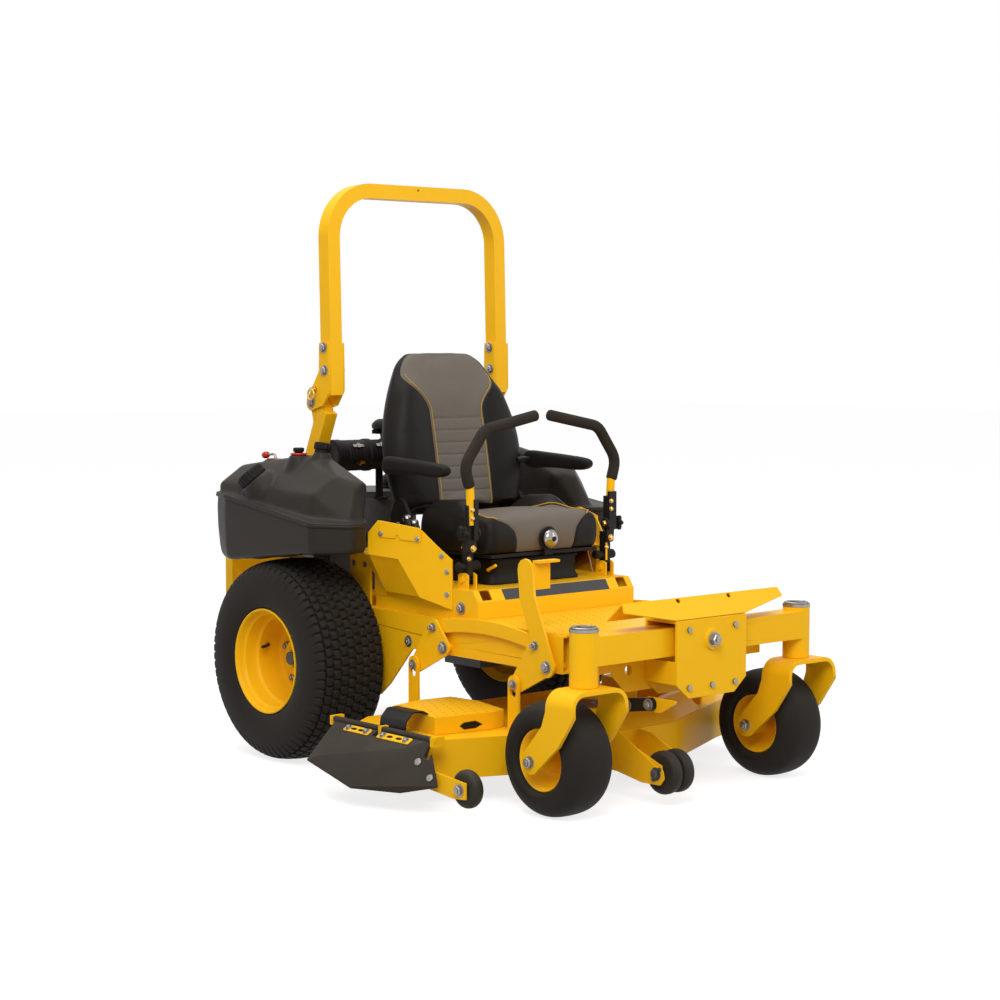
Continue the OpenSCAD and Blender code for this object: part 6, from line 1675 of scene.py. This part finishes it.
def addFrontTrim():
    spec = frontTrim
    capTop = turnShape([(-1, 36), (0.4, 36), (2.2, 33.5), (2.2, 29), (-0.2, 27), (-0.2, 0.5)], 48, False)
    hollow = turnShape([(0.1, 27), (0.5, 25.5), (0.5, 0.5)], 40, False)
    stud = turnShape([(0.4, 12), (3.4, 12), (4.4, 9.5), (4.4, 0.5)], 32, False)
    for sign in (-1, 1):
        spot = Matrix.Translation((sign * spec["capCentre"][0], spec["capCentre"][1], spec["capCentre"][2]))
        name = "Right" if sign < 0 else "Left"
        makePiece("capRim" + name, moveShape(joinShapes([capTop, stud]), spot), "zincSteel", "front_axle",
                  34.0)
        makePiece("capHollow" + name, moveShape(hollow, spot), "blackCoat", "front_axle", 34.0)
    corner = slabShape([(x, spec["skirtFront"], z) for x, z in spec["skirt"]], (0, 6, 0))
    makePiece("skirtCorners", joinShapes([corner, mirrorShape(corner)]), "yellowCoat", "chassis",
              30.0, 1.0)
    # rear leaf of the foot rest, short enough for the rocking beam
    makePiece("footRestLeaf", slabShape(spec["leaf"], spec["leafThick"]), "yellowCoat", "chassis",
              30.0, 0.6)
    low, high = (Vector((0, *p)) for p in spec["chamfer"])
    out = Vector((0, -(high - low).z, (high - low).y)).normalized()
    band = [Vector((x, 0, 0)) + low.lerp(high, t) + out * 0.1 for x, t in spec["band"]]
    makePiece("consoleBand", slabShape(band, out * 1.1), "panelGrey", "chassis", 30.0, 0.4)
    x, half = spec["stayX"], spec["stayHalf"]
    (frontY, frontZ), (rearY, rearZ) = spec["stay"]
    eyes = [[Vector((y + half * math.cos(a), z + half * math.sin(a), 0))
             for a in [math.pi * (base + k / 12) for k in range(13)]]
            for y, z, base in ((frontY, frontZ, 0.55), (rearY, rearZ, 1.55))]
    link = plateShape(eyes[0] + eyes[1], "X", x - 7, x + 7)
    makePiece("stayLink", link, "blackCoat", "chassis", 34.0, 1.2)
    mounts = [plateShape(roundFlat(rows, 9.0), "X", x + 8, x + 14) for rows in spec["stayMounts"]]
    makePiece("stayMounts", joinShapes(mounts), "yellowCoat", "chassis", 34.0, 1.0)
    heads = [moveShape(boltShape(12.5, 9, 17, 3), aimX((x - 7, y, z), -1)) for y, z in spec["stay"]]
    makePiece("stayBolts", joinShapes(heads), "zincSteel", "chassis", 30.0)


addFrontTrim()
print("front end trimmed")

# deck: sloped nose plate, side plates of the nose arms, a black slab of painted shade in the cover cut-out, belt
# guard and the chute's hinge straps with black ovals of painted shade in their slots
deckTrim = {
    "noseLine": [(-300, -965), (-165, -1028), (-90, -1064), (90, -1064), (165, -1028), (300, -965)],
    "noseSection": [(2, 0), (72, 50), (98, 50), (98, 0)], "top": 185.2,
    "armPlate": [(-1052, 204), (-1074, 200), (-1232, 116), (-1262, 108), (-1268, 84), (-1252, 64), (-1180, 62),
                 (-1052, 84)], "armX": -157.0,
    "slitShade": [(-36, 0), (-14, 11), (22, 9), (36, 0), (22, -10), (-14, -9)], "slitSpot": (-452.0, -800.2, 204.0),
    "slitWay": (-0.983, 0.186),
    "guard": [(-634, 187), (-630, 224), (-608, 247), (-570, 247), (-552, 237)], "guardY": (-736.0, -622.0),
    "straps": [(-520, -632), (-672, -812)], "strapRow": (6.0, 30.0),
}


def addDeckTrim():
    spec = deckTrim
    rings = [[Vector((x, y + dy, spec["top"] + dz)) for dy, dz in spec["noseSection"]] for x, y in spec["noseLine"]]
    makePiece("noseSlope", loftShape(rings), "yellowCoat", "deck", 24.0, 2.0)
    outline = roundFlat(spec["armPlate"], 10.0, 4)
    makePiece("noseArmPlate", plateShape(outline, "X", spec["armX"] - 3.0, spec["armX"] - 0.1), "yellowCoat",
              "deck", 30.0, 0.8)
    spots = [moveShape(boltShape(r, h, r * 1.4), aimX((spec["armX"] - 3.0, y, z), -1))
             for y, z, r, h in ((-1236, 94, 13, 10), (-1226, 78, 4.5, 3), (-1250, 108, 4.5, 3))]
    makePiece("noseArmBolts", joinShapes(spots), "engineAlloy", "deck", 30.0)
    # the cover cut-out is a black slab on the deck: painted shade standing in for its dark inside
    along, centre = Vector((*spec["slitWay"], 0)), Vector(spec["slitSpot"])
    out = Vector((spec["slitWay"][1], spec["slitWay"][0], 0)) * -1
    out = out if out.y < 0 else -out
    slitShade = slabShape([centre + along * s + Vector((0, 0, h)) for s, h in spec["slitShade"]], out * 1.6)
    makePiece("coverSlitShade", joinShapes([slitShade, mirrorShape(slitShade)]), "blackCoat", "deck", 30.0)
    low, high = spec["guardY"]
    bend = filletPath([(x, 0, z) for x, z in spec["guard"]], 14, 6)
    sheet = [Vector((p.x, 0, p.z)) for p in bend]
    rings = []
    for i, p in enumerate(sheet):
        ahead = (sheet[min(i + 1, len(sheet) - 1)] - sheet[max(i - 1, 0)]).normalized()
        side = Vector((-ahead.z, 0, ahead.x)) * 2.0
        rings.append([p + side + Vector((0, low, 0)), p + side + Vector((0, high, 0)),
                      p - side + Vector((0, high, 0)), p - side + Vector((0, low, 0))])
    makePiece("beltGuard", loftShape(rings), "blackCoat", "deck", 40.0, 0.6)
    edge, slope, face = Vector((-658, 0, 190)), Vector((-0.865, 0, -0.502)), Vector((-0.502, 0, 0.865))
    near, far = spec["strapRow"]
    straps, slotShades, heads = [], [], []
    for start, end in spec["straps"]:
        corners = [edge + slope * s + face * 4.2 + Vector((0, y, 0))
                   for y, s in ((start, near), (end, near), (end, far), (start, far))]
        straps.append(slabShape(roundOutline(corners, 6.0, 4), face * 3.4))
        for t in (0.14, 0.86):
            spot = edge + slope * ((near + far) / 2) + face * 7.6 + Vector((0, start + (end - start) * t, 0))
            heads.append(moveShape(boltShape(7.5, 5, 10.5, 2), aim(spot, face)))
        # black ovals on the straps: painted shade in the strap slots
        for t in (0.36, 0.64):
            spot = edge + slope * ((near + far) / 2) + face * 7.5 + Vector((0, start + (end - start) * t, 0))
            oval = [spot + Vector((0, 13 * math.cos(a), 0)) + slope * (5 * math.sin(a))
                    for a in [2 * math.pi * k / 20 for k in range(20)]]
            slotShades.append(slabShape(oval, face * 0.5))
    for place, way in (((-694.1, -866.7, 141.5), (-0.80, -0.28, 0.53)),
                       ((-697.5, -921.0, 106.5), (-0.80, -0.28, 0.53))):
        heads.append(moveShape(screwShape(10.5), aim(place, way)))
    makePiece("chuteStraps", joinShapes(straps), "yellowCoat", "chute", 30.0, 0.8)
    makePiece("chuteSlotShade", joinShapes(slotShades), "blackCoat", "chute", 30.0)
    makePiece("chuteBolts", joinShapes(heads), "zincSteel", "chute", 30.0)


addDeckTrim()
print("deck trimmed")

bpy.context.view_layer.update()
print("scene finished")
